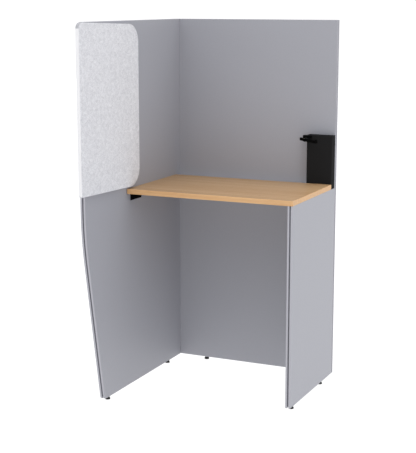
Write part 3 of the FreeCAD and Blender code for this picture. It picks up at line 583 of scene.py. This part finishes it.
@dataclass(frozen=True)
class LacqueredOak:
    """Light oak veneer under satin lacquer: long growth bands, short dark pores, a soft gloss."""

    name: str = "lacquered_oak_veneer"
    early: str = "#BC9C76"
    late: str = "#AB855C"
    pore: str = "#936C41"
    band: float = 38 * MM
    band_detail: float = 6.0
    band_fray: float = 0.6
    band_sway: float = 0.6
    band_start: float = 0.3
    band_full: float = 0.7
    pore_width: float = 1.6 * MM
    pore_detail: float = 3.0
    pore_start: float = 0.56
    pore_full: float = 0.72
    pore_share: float = 0.55
    pore_relief: float = 0.15
    pore_depth: float = 0.3 * MM
    pore_dulling: float = 0.25
    run: float = 0.035
    roughness: float = 0.42

    def material(self) -> Material:
        """Build the veneer's material; the pores are drawn wide enough to show.

        Returns:
            The material, with its grain along X.
        """
        made, tree, shader, spot = start_finish(self.name)
        stretch = {"Vector": spot, "Scale": (self.run, 1.0, 1.0)}
        along = add_node(tree, "ShaderNodeMapping", stretch).outputs["Vector"]
        growth = {
            "Vector": along,
            "Scale": 1 / self.band,
            "Detail": self.band_detail,
            "Roughness": self.band_fray,
            "Distortion": self.band_sway,
        }
        bands = add_node(tree, "ShaderNodeTexNoise", growth).outputs["Fac"]
        span = {"Value": bands, "From Min": self.band_start, "From Max": self.band_full}
        spread = add_node(tree, "ShaderNodeMapRange", span).outputs["Result"]
        colours = {SHARE: spread, FIRST: linear(self.late), SECOND: linear(self.early)}
        grown = add_node(tree, "ShaderNodeMix", colours, data_type="RGBA")
        grain = {"Vector": along, "Scale": 1 / self.pore_width, "Detail": self.pore_detail}
        pores = add_node(tree, "ShaderNodeTexNoise", grain).outputs["Fac"]
        span = {"From Min": self.pore_start, "From Max": self.pore_full, "To Max": self.pore_share}
        opened = add_node(tree, "ShaderNodeMapRange", {"Value": pores, **span}).outputs["Result"]
        colours = {SHARE: opened, FIRST: grown.outputs[MIXED], SECOND: linear(self.pore)}
        whole = add_node(tree, "ShaderNodeMix", colours, data_type="RGBA")
        span = {"To Min": self.roughness, "To Max": self.roughness + self.pore_dulling}
        gloss = add_node(tree, "ShaderNodeMapRange", {"Value": opened, **span})
        relief = {"Height": opened, "Strength": self.pore_relief, "Distance": self.pore_depth}
        bump = add_node(tree, "ShaderNodeBump", relief, invert=True)
        surface = {
            "Base Color": whole.outputs[MIXED],
            "Roughness": gloss.outputs["Result"],
            "Normal": bump.outputs["Normal"],
        }
        set_inputs(shader, surface)
        return made


@dataclass(frozen=True)
class PowderCoat(GrainedFinish):
    """Black coating on steel, powder or stove enamel: a fine orange peel that breaks up a low gloss."""

    grain: float = 0.9 * MM
    relief: float = 0.2
    gloss_spread: float = 0.1
    specular: float = 0.005


@dataclass(frozen=True)
class HeatheredFelt:
    """Pressed polyester felt in pale and grey clumps; its straight edge paler (a cut edge and a painted
    highlight), its round corners painted shade.
    """

    pale: str = "#E2E3E9"
    grey: str = "#C5C6CD"
    # Paler straight edge: partly the felt's pale cut edge, partly a painted highlight of the front light
    rim: str = "#E9E9EC"
    # Darker round corners: painted shade, where the felt turns away from the light
    painted_corner_shade: str = "#B0B1B7"
    pale_fibre: str = "#F4F4F6"
    grey_fibre: str = "#AAABB3"
    clump: float = 11 * MM
    clump_run: tuple[float, float, float] = (1.0, 0.55, 0.7)
    clump_detail: float = 5.0
    clump_fray: float = 0.64
    clump_sway: float = 0.8
    clump_start: float = 0.34
    clump_full: float = 0.66
    fibre: float = 4.5 * MM
    fibre_detail: float = 2.0
    fibre_curl: float = 2.0
    fibre_line: float = 0.5
    fibre_share: float = 0.75
    fibre_relief: float = 0.45
    fibre_depth: float = 1 * MM
    fineness: float = 0.045
    layer_shift: float = 0.4
    roughness: float = 0.95
    sheen: float = 0.25
    sheen_roughness: float = 0.6
    specular: float = 0.2

    def material(self) -> Material:
        """Build the felt's material; its fibres are drawn wider than real ones so that they show.

        Returns:
            The material, which paints the marked straight rim paler, as a pale cut edge and a painted
            highlight, and the marked round corners darker, as painted shade.
        """
        made, tree, shader, spot = start_finish("heathered_felt")
        along = add_node(tree, "ShaderNodeMapping", {"Vector": spot, "Scale": self.clump_run})
        heather = {
            "Vector": along.outputs["Vector"],
            "Scale": 1 / self.clump,
            "Detail": self.clump_detail,
            "Roughness": self.clump_fray,
            "Distortion": self.clump_sway,
        }
        clumps = add_node(tree, "ShaderNodeTexNoise", heather).outputs["Fac"]
        span = {"Value": clumps, "From Min": self.clump_start, "From Max": self.clump_full}
        spread = add_node(tree, "ShaderNodeMapRange", span).outputs["Result"]
        colours = {SHARE: spread, FIRST: linear(self.grey), SECOND: linear(self.pale)}
        mixed = add_node(tree, "ShaderNodeMix", colours, data_type="RGBA")
        curl = {"Scale": 1 / self.fibre, "Detail": self.fibre_detail, "Distortion": self.fibre_curl}
        span = {"From Max": self.fineness, "To Min": self.fibre_share, "To Max": 0.0}
        for shade, shift in ((self.pale_fibre, 0.0), (self.grey_fibre, self.layer_shift)):
            moved = add_node(tree, "ShaderNodeMapping", {"Vector": spot, "Location": (shift, shift, shift)})
            bends = add_node(tree, "ShaderNodeTexNoise", {"Vector": moved.outputs["Vector"], **curl})
            line = {0: bends.outputs["Fac"], 1: self.fibre_line}
            off = add_node(tree, "ShaderNodeMath", line, operation="SUBTRACT")
            away = add_node(tree, "ShaderNodeMath", {0: off.outputs[0]}, operation="ABSOLUTE")
            near = {"Value": away.outputs[0], **span}
            strand = add_node(tree, "ShaderNodeMapRange", near).outputs["Result"]
            colours = {SHARE: strand, FIRST: mixed.outputs[MIXED], SECOND: linear(shade)}
            mixed = add_node(tree, "ShaderNodeMix", colours, data_type="RGBA")
        # Paint the marked straight rim paler (a pale cut edge and a painted highlight) and the marked round
        # corners darker (painted shade)
        for name, shade in (("rim", self.rim), ("painted_corner_shade", self.painted_corner_shade)):
            marked = add_node(tree, "ShaderNodeAttribute", attribute_name=name).outputs["Fac"]
            colours = {SHARE: marked, FIRST: mixed.outputs[MIXED], SECOND: linear(shade)}
            mixed = add_node(tree, "ShaderNodeMix", colours, data_type="RGBA")
        relief = {"Height": strand, "Strength": self.fibre_relief, "Distance": self.fibre_depth}
        bump = add_node(tree, "ShaderNodeBump", relief)
        surface = {
            "Base Color": mixed.outputs[MIXED],
            "Roughness": self.roughness,
            "Sheen Weight": self.sheen,
            "Sheen Roughness": self.sheen_roughness,
            "Specular IOR Level": self.specular,
            "Normal": bump.outputs["Normal"],
        }
        set_inputs(shader, surface)
        return made


@dataclass(frozen=True)
class PlatedSteel(GrainedFinish):
    """Plated or blackened steel of bolts and stems: turned metal, its scratches drawn wide enough to show."""

    grain: float = 0.8 * MM
    detail: float = 3.0
    gloss_spread: float = 0.1
    metallic: float = 1.0


@dataclass(frozen=True)
class MouldedPolymer(GrainedFinish):
    """Moulded polymer of feet and washers: a dull spark-eroded grain, drawn coarse enough to show."""

    grain: float = 0.7 * MM
    relief: float = 0.2
    roughness: float = 0.6


class Palette:
    """All finishes of the booth, each built once."""

    def __init__(self) -> None:
        """Build every finish."""
        self.board = MelamineBoard().material()
        self.batten = StainedBatten("stained_batten", "#6B6B72", "#7F7F86").material()
        self.raw_board = StainedBatten("raw_wing_board", "#9C7F58", "#B79A74").material()
        self.oak = LacqueredOak().material()
        edge = LacqueredOak("oak_edge_band", "#D4AC7C", "#C69868", "#B0834E", band=14 * MM)
        self.oak_edge = edge.material()
        self.coat = PowderCoat("black_powder_coat", "#202021", "#272728").material()
        self.enamel = PowderCoat("jet_black_enamel", "#090909", "#0E0E0E").material()
        self.felt = HeatheredFelt().material()
        self.zinc = PlatedSteel("zinc_plated_steel", "#C3C5C8", "#AEB0B3", roughness=0.35).material()
        self.oxide = PlatedSteel("black_oxide_steel", "#252526", "#313132", roughness=0.4).material()
        self.foot = MouldedPolymer("black_polyamide", "#161617", "#222223").material()
        self.nylon = MouldedPolymer("natural_nylon", "#D8D6CC", "#C9C7BC").material()


@dataclass
class PlainPanel:
    """A rectangular panel of two boards over battens: the wide back panel or the low right-hand one."""

    palette: Palette
    side: str
    across: Across
    ease: float = 0.8 * MM

    def corners(self, low: Vector, high: Vector) -> list[Corner]:
        """Return the panel's outline between two flat corners of its box."""
        return oblong(low, high)

    def build(self) -> None:
        """Build both boards over the nodes of the frame, and dress the battens between them."""
        for layer in ("outer", "inner"):
            node = f"{self.side}_{layer}_skin"
            low, high = [self.across.flat(corner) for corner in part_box(node)]
            rings = eased(self.corners(low, high), low.z, high.z, self.ease)
            board = loft(f"{self.side}_{layer}_board", rings, self.across.place)
            # Mark the board's edges, which the finish paints paler: an edge band and a painted highlight
            mark(board, "rim", range(1, len(rings) - 1), [1.0] * len(rings[0][0]))
            dress(board, self.palette.board)
            carry(board, "booth", [node])
        dress_nodes(self.palette.batten, f"{self.side}_frame")


@dataclass
class TallSide(PlainPanel):
    """The tall left panel, whose upright front edge leans back below a knee."""

    side: str = "left"
    across: Across = Across.X
    knee_height: float = 828 * MM
    toe_setback: float = 150 * MM
    knee_radius: float = 1.4
    top_radius: float = 25 * MM
    toe_radius: float = 12 * MM

    def corners(self, low: Vector, high: Vector) -> list[Corner]:
        """Return the panel's outline between two flat corners of its box."""
        return [
            Corner(low.x + self.toe_setback, low.y, self.toe_radius),
            Corner(high.x, low.y),
            Corner(high.x, high.y),
            Corner(low.x, high.y, self.top_radius),
            Corner(low.x, self.knee_height, self.knee_radius),
        ]


@dataclass
class Counter:
    """The counter: a veneered board inside an edge band with eased arrises, on four brackets."""

    palette: Palette
    corner_radius: float = 5 * MM
    band: float = 2 * MM
    joint: float = 0.15 * MM
    board_ease: float = 0.2 * MM
    band_ease: float = 1.2 * MM
    band_steps: int = 4

    def outline(self, low: Vector, high: Vector, inset: float) -> list[Corner]:
        """Return the counter's outline, set in from its edges by an inset."""
        step = Vector((inset, inset, 0.0))
        return oblong(low + step, high - step, [self.corner_radius - inset] * 4)

    def build(self) -> None:
        """Build the board, then the band as a ring with its outer arrises eased, and dress the brackets."""
        low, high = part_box("desk_edge_band")
        inside = self.outline(low, high, self.band + self.joint)
        board = loft("counter_board", eased(inside, low.z, high.z, self.board_ease), Across.Z.place)
        dress(board, self.palette.oak)
        carry(board, "booth", ["desk_board"])
        outside = self.outline(low, high, 0.0)
        outer = eased(outside, low.z, high.z, self.band_ease, self.band_steps)
        inner = [(rounded(self.outline(low, high, self.band)), level) for level in (high.z, low.z)]
        band = loft("counter_edge_band", outer + inner, Across.Z.place, hollow=True)
        dress(band, self.palette.oak_edge)
        carry(band, "booth", ["desk_edge_band"])
        for side in ("left", "right"):
            dress_nodes(self.palette.enamel, f"desk_bracket_{side}_front", f"desk_bracket_{side}_rear")


@dataclass
class FeltWing:
    """The wing: a board in a felt wrap, soft at its edges and slightly crowned on its free side."""

    palette: Palette
    drop: float = 17 * MM
    rear_radius: float = 88 * MM
    front_radius: float = 27 * MM
    toe_radius: float = 4 * MM
    arc_steps: int = 16
    back_inset: float = 1.0 * MM
    back_rise: float = 1.5 * MM
    roll: float = 2.2 * MM
    roll_steps: int = 6
    crown: float = 0.8 * MM
    crown_reach: float = 60 * MM
    crown_steps: int = 6
    rim_rings: int = 5
    corner_shade_fade: int = 2

    def rings(self) -> list[Ring]:
        """Stack the felt's rings from the panel to the free side.

        Returns:
            Rings whose points start at the toe, the lower front corner.
        """
        low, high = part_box("wing_cover")
        corners = [
            Corner(low.y, low.z + self.drop, self.toe_radius),
            Corner(high.y, low.z, self.rear_radius),
            Corner(high.y, high.z - self.drop, self.rear_radius),
            Corner(low.y, high.z, self.front_radius),
        ]
        face = high.x - self.crown
        stack = [(self.back_inset, low.x), (0.0, low.x + self.back_rise)]
        for k in range(self.roll_steps + 1):
            angle = math.pi / 2 * k / self.roll_steps
            stack.append((self.roll * (1 - math.cos(angle)), face - self.roll * (1 - math.sin(angle))))
        for k in range(1, self.crown_steps + 1):
            share = k / self.crown_steps
            rise = self.crown * math.sin(math.pi / 2 * share)
            stack.append((self.roll + self.crown_reach * share, face + rise))
        return [(rounded(corners, inset, self.arc_steps), level) for inset, level in stack]

    def build(self) -> None:
        """Build the felt over the wing's cover, and mark its front edge for a paler cut edge and painted
        highlight, and its round corners for painted shade.
        """
        rings = self.rings()
        wing = loft("felt_wing", rings, Across.X.place)
        rim = range(1, self.rim_rings + 1)
        count = len(rings[0][0])
        # The straight front edge is painted paler: a pale cut edge and a painted highlight
        mark(wing, "rim", rim, [1.0 if i in (0, count - 1) else 0.0 for i in range(count)])
        steps = self.arc_steps
        # The toe is sharp and gets no painted shade; the other three corners are round and painted darker, as
        # painted shade where they turn away from the light
        toe = [0.0] * (steps + 1)
        corner_shade_share = [min(1.0, min(k, steps - k) / self.corner_shade_fade) for k in range(steps + 1)]
        mark(wing, "painted_corner_shade", rim, toe + corner_shade_share + corner_shade_share + corner_shade_share)
        dress(wing, self.palette.felt)
        carry(wing, "booth", ["wing_cover"])
        dress_nodes(self.palette.raw_board, "wing_core")


@dataclass
class Tower:
    """The tower behind the counter with its ear, and the hanger bar that swings under it."""

    palette: Palette
    ear_radius: float = 9 * MM
    bar_length: float = 114 * MM
    bar_tail: float = 42 * MM
    bar_width: float = 13 * MM
    bar_height: float = 14 * MM
    tip_radius: float = 2 * MM
    lip_depth: float = 7 * MM
    lip_rise: float = 5 * MM
    lip_radius: float = 1.5 * MM
    ease: float = 1.2 * MM
    turn: float = -40.0

    def build(self) -> None:
        """Build the ear and the bar with eased arrises, and dress the folded sheets and the pivot."""
        dress_nodes(self.palette.coat, "tower_cover", "tower_back_plate")
        low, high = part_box("hanger_ear")
        corners = oblong(low, high, (self.ear_radius, self.ear_radius, CUT_CORNER, CUT_CORNER))
        ear = loft("hanger_ear_block", eased(corners, low.z, high.z, self.ease), Across.Z.place)
        dress(ear, self.palette.enamel)
        carry(ear, "booth", ["hanger_ear"])
        self.build_bar()
        dress_nodes(self.palette.nylon, "hanger_washer")
        dress_nodes(self.palette.oxide, "hanger_pivot_screw")

    def build_bar(self) -> None:
        """Build the hanger bar about its pivot, with a round tail and a raised lip."""
        low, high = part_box("hanger_washer")
        pivot = Vector(((low.x + high.x) / 2, (low.y + high.y) / 2, low.z))
        swing = Matrix.Rotation(math.radians(self.turn), 3, "Z")
        half = self.bar_width / 2
        tip = self.bar_length

        def put(u: float, v: float, w: float) -> Vector:
            """Turn a point of the straight bar into its place under the ear."""
            return pivot + swing @ Vector((u, v, w))

        def slab(start: float, radius: float) -> list[Corner]:
            """Return the outline of a slab that ends at the bar's tip."""
            radii = (radius, self.tip_radius, self.tip_radius, radius)
            return oblong(Vector((start, -half)), Vector((tip, half)), radii)

        shaft = eased(slab(-self.bar_tail, half - LEAST_RADIUS), -self.bar_height, 0.0, self.ease)
        raised = eased(slab(tip - self.lip_depth, self.lip_radius), -2 * self.ease, self.lip_rise, self.ease)
        parts = [loft("hanger_bar_shaft", shaft, put), loft("hanger_bar_lip", raised, put)]
        whole = join("hanger_arm", parts)
        dress(whole, self.palette.enamel)
        carry(whole, "hanger", ["hanger_bar"])


@dataclass(frozen=True)
class Head:
    """A kind of fastener head: its outside, its recess and the recess's form, in metres."""

    radius: float
    height: float
    recess: float
    drive: Drive = Drive.HEX


@dataclass(frozen=True)
class HeadRow:
    """Fastener heads of one kind that face one way."""

    name: str
    node: str
    facing: Facing
    head: Head
    slot: str
    half: Half = Half.BOTH

    def spots(self) -> list[Vector]:
        """Find where each solid of the node ends on the side that its head faces.

        Returns:
            One point for each solid in the half of the node that counts.
        """
        low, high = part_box(self.node)
        middle = (low.x + high.x) / 2
        depth = self.facing.axis.value
        found: list[Vector] = []
        for points in solids(self.node):
            lows = [min(point[i] for point in points) for i in range(3)]
            highs = [max(point[i] for point in points) for i in range(3)]
            spot = Vector([(a + b) / 2 for a, b in zip(lows, highs)])
            spot[depth] = highs[depth] if self.facing.sign > 0 else lows[depth]
            if self.half is Half.BOTH or (spot.x - middle) * self.half.value > 0:
                found.append(spot)
        return found


@dataclass
class Fasteners:
    """Every bolt and screw, with a head on each end that shows."""

    palette: Palette
    bolt: Head = Head(radius=6.6 * MM, height=0.9 * MM, recess=2.4 * MM)
    wood_screw: Head = Head(radius=4.2 * MM, height=1.2 * MM, recess=1.8 * MM, drive=Drive.SQUARE)
    pivot: Head = Head(radius=5.4 * MM, height=0.8 * MM, recess=2.2 * MM)
    sheet_screw: Head = Head(radius=3.2 * MM, height=0.8 * MM, recess=1.5 * MM)
    crown_share: float = 0.82
    recess_share: float = 0.7
    sides: int = 32
    side_rings: int = 2

    def rows(self) -> list[HeadRow]:
        """List the rows of heads.

        Returns:
            The rows, in the order of their making.
        """
        zinc, black = "zinc_steel", "black_screws"
        wood, sheet = self.wood_screw, self.sheet_screw
        left, right = Facing.LEFT, Facing.RIGHT
        return [
            HeadRow("left_corner_heads", "left_corner_bolts", Facing.REAR, self.bolt, zinc),
            HeadRow("right_corner_heads", "right_corner_bolts", Facing.REAR, self.bolt, zinc),
            HeadRow("wing_bolt_heads", "wing_bolts", left, self.bolt, zinc),
            HeadRow("bracket_desk_heads", "bracket_desk_screws", Facing.DOWN, wood, black),
            HeadRow("hanger_pivot_head", "hanger_pivot_screw", Facing.DOWN, self.pivot, black),
            HeadRow("bracket_left_wall_heads", "bracket_wall_screws", right, wood, black, Half.LEFT),
            HeadRow("bracket_right_wall_heads", "bracket_wall_screws", left, wood, black, Half.RIGHT),
            HeadRow("tower_left_heads", "tower_cover_screws", left, sheet, black, Half.LEFT),
            HeadRow("tower_right_heads", "tower_cover_screws", right, sheet, black, Half.RIGHT),
        ]

    def head_tree(self, drive: Drive) -> NodeTree:
        """Build the tree that sets a head with its recess on every point.

        Args:
            drive: The form of the recess.

        Returns:
            The tree, with inputs for the head's sizes, its direction and its finish.
        """
        sizes = ("Head Radius", "Head Height", "Recess Radius", "Recess Depth")
        kinds = {**{size: "NodeSocketFloat" for size in sizes}, "Direction": "NodeSocketVector"}
        tree, feed = start_tree(f"fastener_heads_{drive.name.lower()}", kinds)
        top = {0: feed["Head Radius"], 1: self.crown_share}
        crown = add_node(tree, "ShaderNodeMath", top, operation="MULTIPLY")
        head = add_node(
            tree,
            "GeometryNodeMeshCone",
            {
                "Vertices": self.sides,
                "Side Segments": self.side_rings,
                "Radius Top": crown.outputs[0],
                "Radius Bottom": feed["Head Radius"],
                "Depth": feed["Head Height"],
            },
        )
        twice = add_node(tree, "ShaderNodeMath", {0: feed["Recess Depth"], 1: 2.0}, operation="MULTIPLY")
        cutter = add_node(
            tree,
            "GeometryNodeMeshCylinder",
            {"Vertices": drive.value, "Radius": feed["Recess Radius"], "Depth": twice.outputs[0]},
        )
        rise = add_node(tree, "ShaderNodeCombineXYZ", {"Z": feed["Head Height"]})
        raised = add_node(
            tree,
            "GeometryNodeTransform",
            {"Geometry": cutter.outputs["Mesh"], "Translation": rise.outputs["Vector"]},
        )
        both = {0: head.outputs["Mesh"], 1: raised.outputs["Geometry"]}
        cut = add_node(tree, "GeometryNodeMeshBoolean", both, operation="DIFFERENCE")
        aim = add_node(tree, "FunctionNodeAlignRotationToVector", {"Vector": feed["Direction"]}, axis="Z")
        end_tree(tree, feed, {"Instance": cut.outputs["Mesh"], "Rotation": aim.outputs["Rotation"]})
        return tree

    def build(self) -> None:
        """Dress the shanks and sleeves, then set the rows of heads on the booth."""
        zinc, oxide = self.palette.zinc, self.palette.oxide
        for place in ("left_corner", "right_corner", "wing"):
            dress_nodes(zinc, f"{place}_bolts", f"{place}_sleeves")
        dress_nodes(zinc, "foot_sleeves", "tower_wall_screws", "hanger_ear_screws")
        dress_nodes(oxide, "bracket_wall_screws", "bracket_desk_screws", "tower_cover_screws")
        finishes = {"zinc_steel": zinc, "black_screws": oxide}
        trees = {drive: self.head_tree(drive) for drive in Drive}
        for row in self.rows():
            head = row.head
            sizes = {
                "Head Radius": head.radius,
                "Head Height": head.height,
                "Recess Radius": head.recess,
                "Recess Depth": head.height * self.recess_share,
                "Direction": tuple(row.facing.way()),
                "Finish": finishes[row.slot],
            }
            heads = scatter(row.name, row.spots(), trees[head.drive], sizes)
            carry(heads, "booth")


@dataclass
class Feet:
    """The levelling feet: a pad on a threaded stem, with grip ribs round the pad."""

    palette: Palette
    corners: tuple[str, ...] = (
        "left_front",
        "left_rear",
        "back_left",
        "back_right",
        "right_front",
        "right_rear",
    )
    rim: float = 5 * MM
    ribs: int = 20
    rib_radius: float = 0.7 * MM
    rib_share: float = 0.8
    rib_sides: int = 8
    thread_pitch: float = 1.25 * MM
    thread_depth: float = 0.65 * MM
    thread_rows: int = 8
    lead: float = 1.2 * MM
    stem_sides: int = 20

    def build(self) -> None:
        """Dress each foot's pad, cut its stem's thread and set the ribs round its pad."""
        tree = self.rib_tree()
        for corner in self.corners:
            dress_nodes(self.palette.foot, f"foot_pad_{corner}")
            self.build_stem(corner)
            self.build_ribs(corner, tree)

    def build_stem(self, corner: str) -> None:
        """Build one foot's stem, with a thread that winds round it and runs out at both ends.

        Args:
            corner: The foot's name.
        """
        low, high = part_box(f"foot_stem_{corner}")
        middle = (low + high) / 2
        radius = (high.x - low.x) / 2
        length = high.z - low.z
        count = round(length / self.thread_pitch * self.thread_rows)
        rings: list[Ring] = []
        for k in range(count + 1):
            rise = length * k / count
            full = min(1.0, rise / self.lead, (length - rise) / self.lead)
            points: list[Point] = []
            for i in range(self.stem_sides):
                share = i / self.stem_sides
                crest = abs(2 * ((rise / self.thread_pitch - share) % 1.0) - 1)
                reach = radius - self.thread_depth * (1 - full * crest)
                angle = 2 * math.pi * share
                points.append((middle.x + reach * math.cos(angle), middle.y + reach * math.sin(angle)))
            rings.append((points, low.z + rise))
        stem = loft(f"foot_thread_{corner}", rings, Across.Z.place)
        dress(stem, self.palette.zinc)
        carry(stem, f"foot_{corner}", [f"foot_stem_{corner}"])

    def rib_tree(self) -> NodeTree:
        """Build the tree that sets an upright rib on every point.

        Returns:
            The tree, with inputs for the rib's sizes and its finish.
        """
        kinds = {"Rib Radius": "NodeSocketFloat", "Rib Height": "NodeSocketFloat"}
        tree, feed = start_tree("foot_grip_ribs", kinds)
        rib = add_node(
            tree,
            "GeometryNodeMeshCylinder",
            {"Vertices": self.rib_sides, "Radius": feed["Rib Radius"], "Depth": feed["Rib Height"]},
        )
        end_tree(tree, feed, {"Instance": rib.outputs["Mesh"]})
        return tree

    def build_ribs(self, corner: str, tree: NodeTree) -> None:
        """Set the ribs of one foot, which ride on it.

        Args:
            corner: The foot's name.
            tree: The ribs' node tree.
        """
        low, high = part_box(f"foot_pad_{corner}")
        middle = Vector(((low.x + high.x) / 2, (low.y + high.y) / 2, low.z + self.rim / 2))
        spoke = Vector(((high.x - low.x) / 2, 0.0, 0.0))
        turns = [Matrix.Rotation(2 * math.pi * k / self.ribs, 3, "Z") for k in range(self.ribs)]
        sizes = {
            "Rib Radius": self.rib_radius,
            "Rib Height": self.rim * self.rib_share,
            "Finish": self.palette.foot,
        }
        ribs = scatter(f"foot_ribs_{corner}", [middle + turn @ spoke for turn in turns], tree, sizes)
        carry(ribs, f"foot_{corner}")


@dataclass
class Studio:
    """A pale floor, soft light and the camera."""

    floor_size: float = 40.0
    floor_shade: str = "#616161"
    floor_light: str = "#FFFFFF"
    floor_glow: float = 0.98
    floor_roughness: float = 0.9
    sky: float = 2.1
    sky_stops: tuple[tuple[float, str], ...] = (
        (0.0, "#BCBCBC"),
        (0.2, "#BCBCBC"),
        (0.27, "#606060"),
        (1.0, "#FFFFFF"),
    )
    key_place: tuple[float, float, float] = (4.8, -3.4, 2.0)
    key_aim: tuple[float, float, float] = (0.0, 0.0, 0.9)
    key_size: float = 3.0
    key_watts: float = 25.0
    eye: tuple[float, float, float] = (2.300354, -5.052238, 1.899410)
    pitch: float = 10.859
    yaw: float = 24.674
    focal_pixels: float = 1185.744
    long_side: int = 453
    sensor: float = 36.0
    sight: float = 100.0

    def build(self) -> None:
        """Set the stage."""
        self.build_floor()
        self.build_sky()
        self.build_key()
        self.build_camera()

    def build_floor(self) -> None:
        """Lay a wide pale floor."""
        half = self.floor_size / 2
        mesh = bpy.data.meshes.new("studio_floor")
        corners = [(-half, -half, 0), (half, -half, 0), (half, half, 0), (-half, half, 0)]
        mesh.from_pydata(corners, [], [(0, 1, 2, 3)])
        floor = show("studio_floor", mesh)
        made = bpy.data.materials.new("pale_floor")
        made.use_nodes = True
        surface = {
            "Base Color": linear(self.floor_shade),
            "Roughness": self.floor_roughness,
            "Emission Color": linear(self.floor_light),
            "Emission Strength": self.floor_glow,
        }
        set_inputs(made.node_tree.nodes["Principled BSDF"], surface)
        dress(floor, made)

    def build_sky(self) -> None:
        """Light the booth with a sky that is brightest overhead and at the skyline."""
        world = bpy.data.worlds.new("studio_sky")
        world.use_nodes = True
        tree = world.node_tree
        way = add_node(tree, "ShaderNodeTexCoord").outputs["Generated"]
        height = add_node(tree, "ShaderNodeSeparateXYZ", {"Vector": way}).outputs["Z"]
        fade = add_node(tree, "ShaderNodeValToRGB", {"Fac": height})
        stops = fade.color_ramp.elements
        while len(stops) < len(self.sky_stops):
            stops.new(1.0)
        for stop, (level, shade) in zip(stops, self.sky_stops):
            stop.position = level
            stop.color = linear(shade)
        set_inputs(tree.nodes["Background"], {"Color": fade.outputs["Color"], "Strength": self.sky})
        bpy.context.scene.world = world
        bpy.context.scene.view_settings.view_transform = "Standard"

    def build_key(self) -> None:
        """Hang a weak, square, soft lamp at the right."""
        lamp = bpy.data.lights.new("soft_key", "AREA")
        lamp.shape = "SQUARE"
        lamp.size = self.key_size
        lamp.energy = self.key_watts
        hung = show("soft_key", lamp)
        hung.location = self.key_place
        aim = Vector(self.key_aim) - Vector(self.key_place)
        hung.rotation_euler = aim.to_track_quat("-Z", "Y").to_euler()

    def build_camera(self) -> None:
        """Stand the camera where the picture was taken from."""
        tilt, turn = math.radians(self.pitch), math.radians(self.yaw)
        ahead = Vector((-math.sin(turn) * math.cos(tilt), math.cos(turn) * math.cos(tilt), -math.sin(tilt)))
        lens = bpy.data.cameras.new("camera")
        lens.sensor_width = self.sensor
        lens.lens = self.sensor * self.focal_pixels / self.long_side
        lens.clip_end = self.sight
        camera = show("camera", lens)
        camera.location = self.eye
        camera.rotation_euler = ahead.to_track_quat("-Z", "Y").to_euler()
        bpy.context.scene.camera = camera


def main() -> None:
    """Build and dress the booth, and set the studio."""
    logging.basicConfig(level=logging.INFO, format="%(name)s: %(message)s")
    palette = Palette()
    TallSide(palette).build()
    PlainPanel(palette, "back", Across.Y).build()
    PlainPanel(palette, "right", Across.X).build()
    Counter(palette).build()
    FeltWing(palette).build()
    Tower(palette).build()
    Fasteners(palette).build()
    Feet(palette).build()
    Studio().build()


if __name__ == "__main__":
    main()
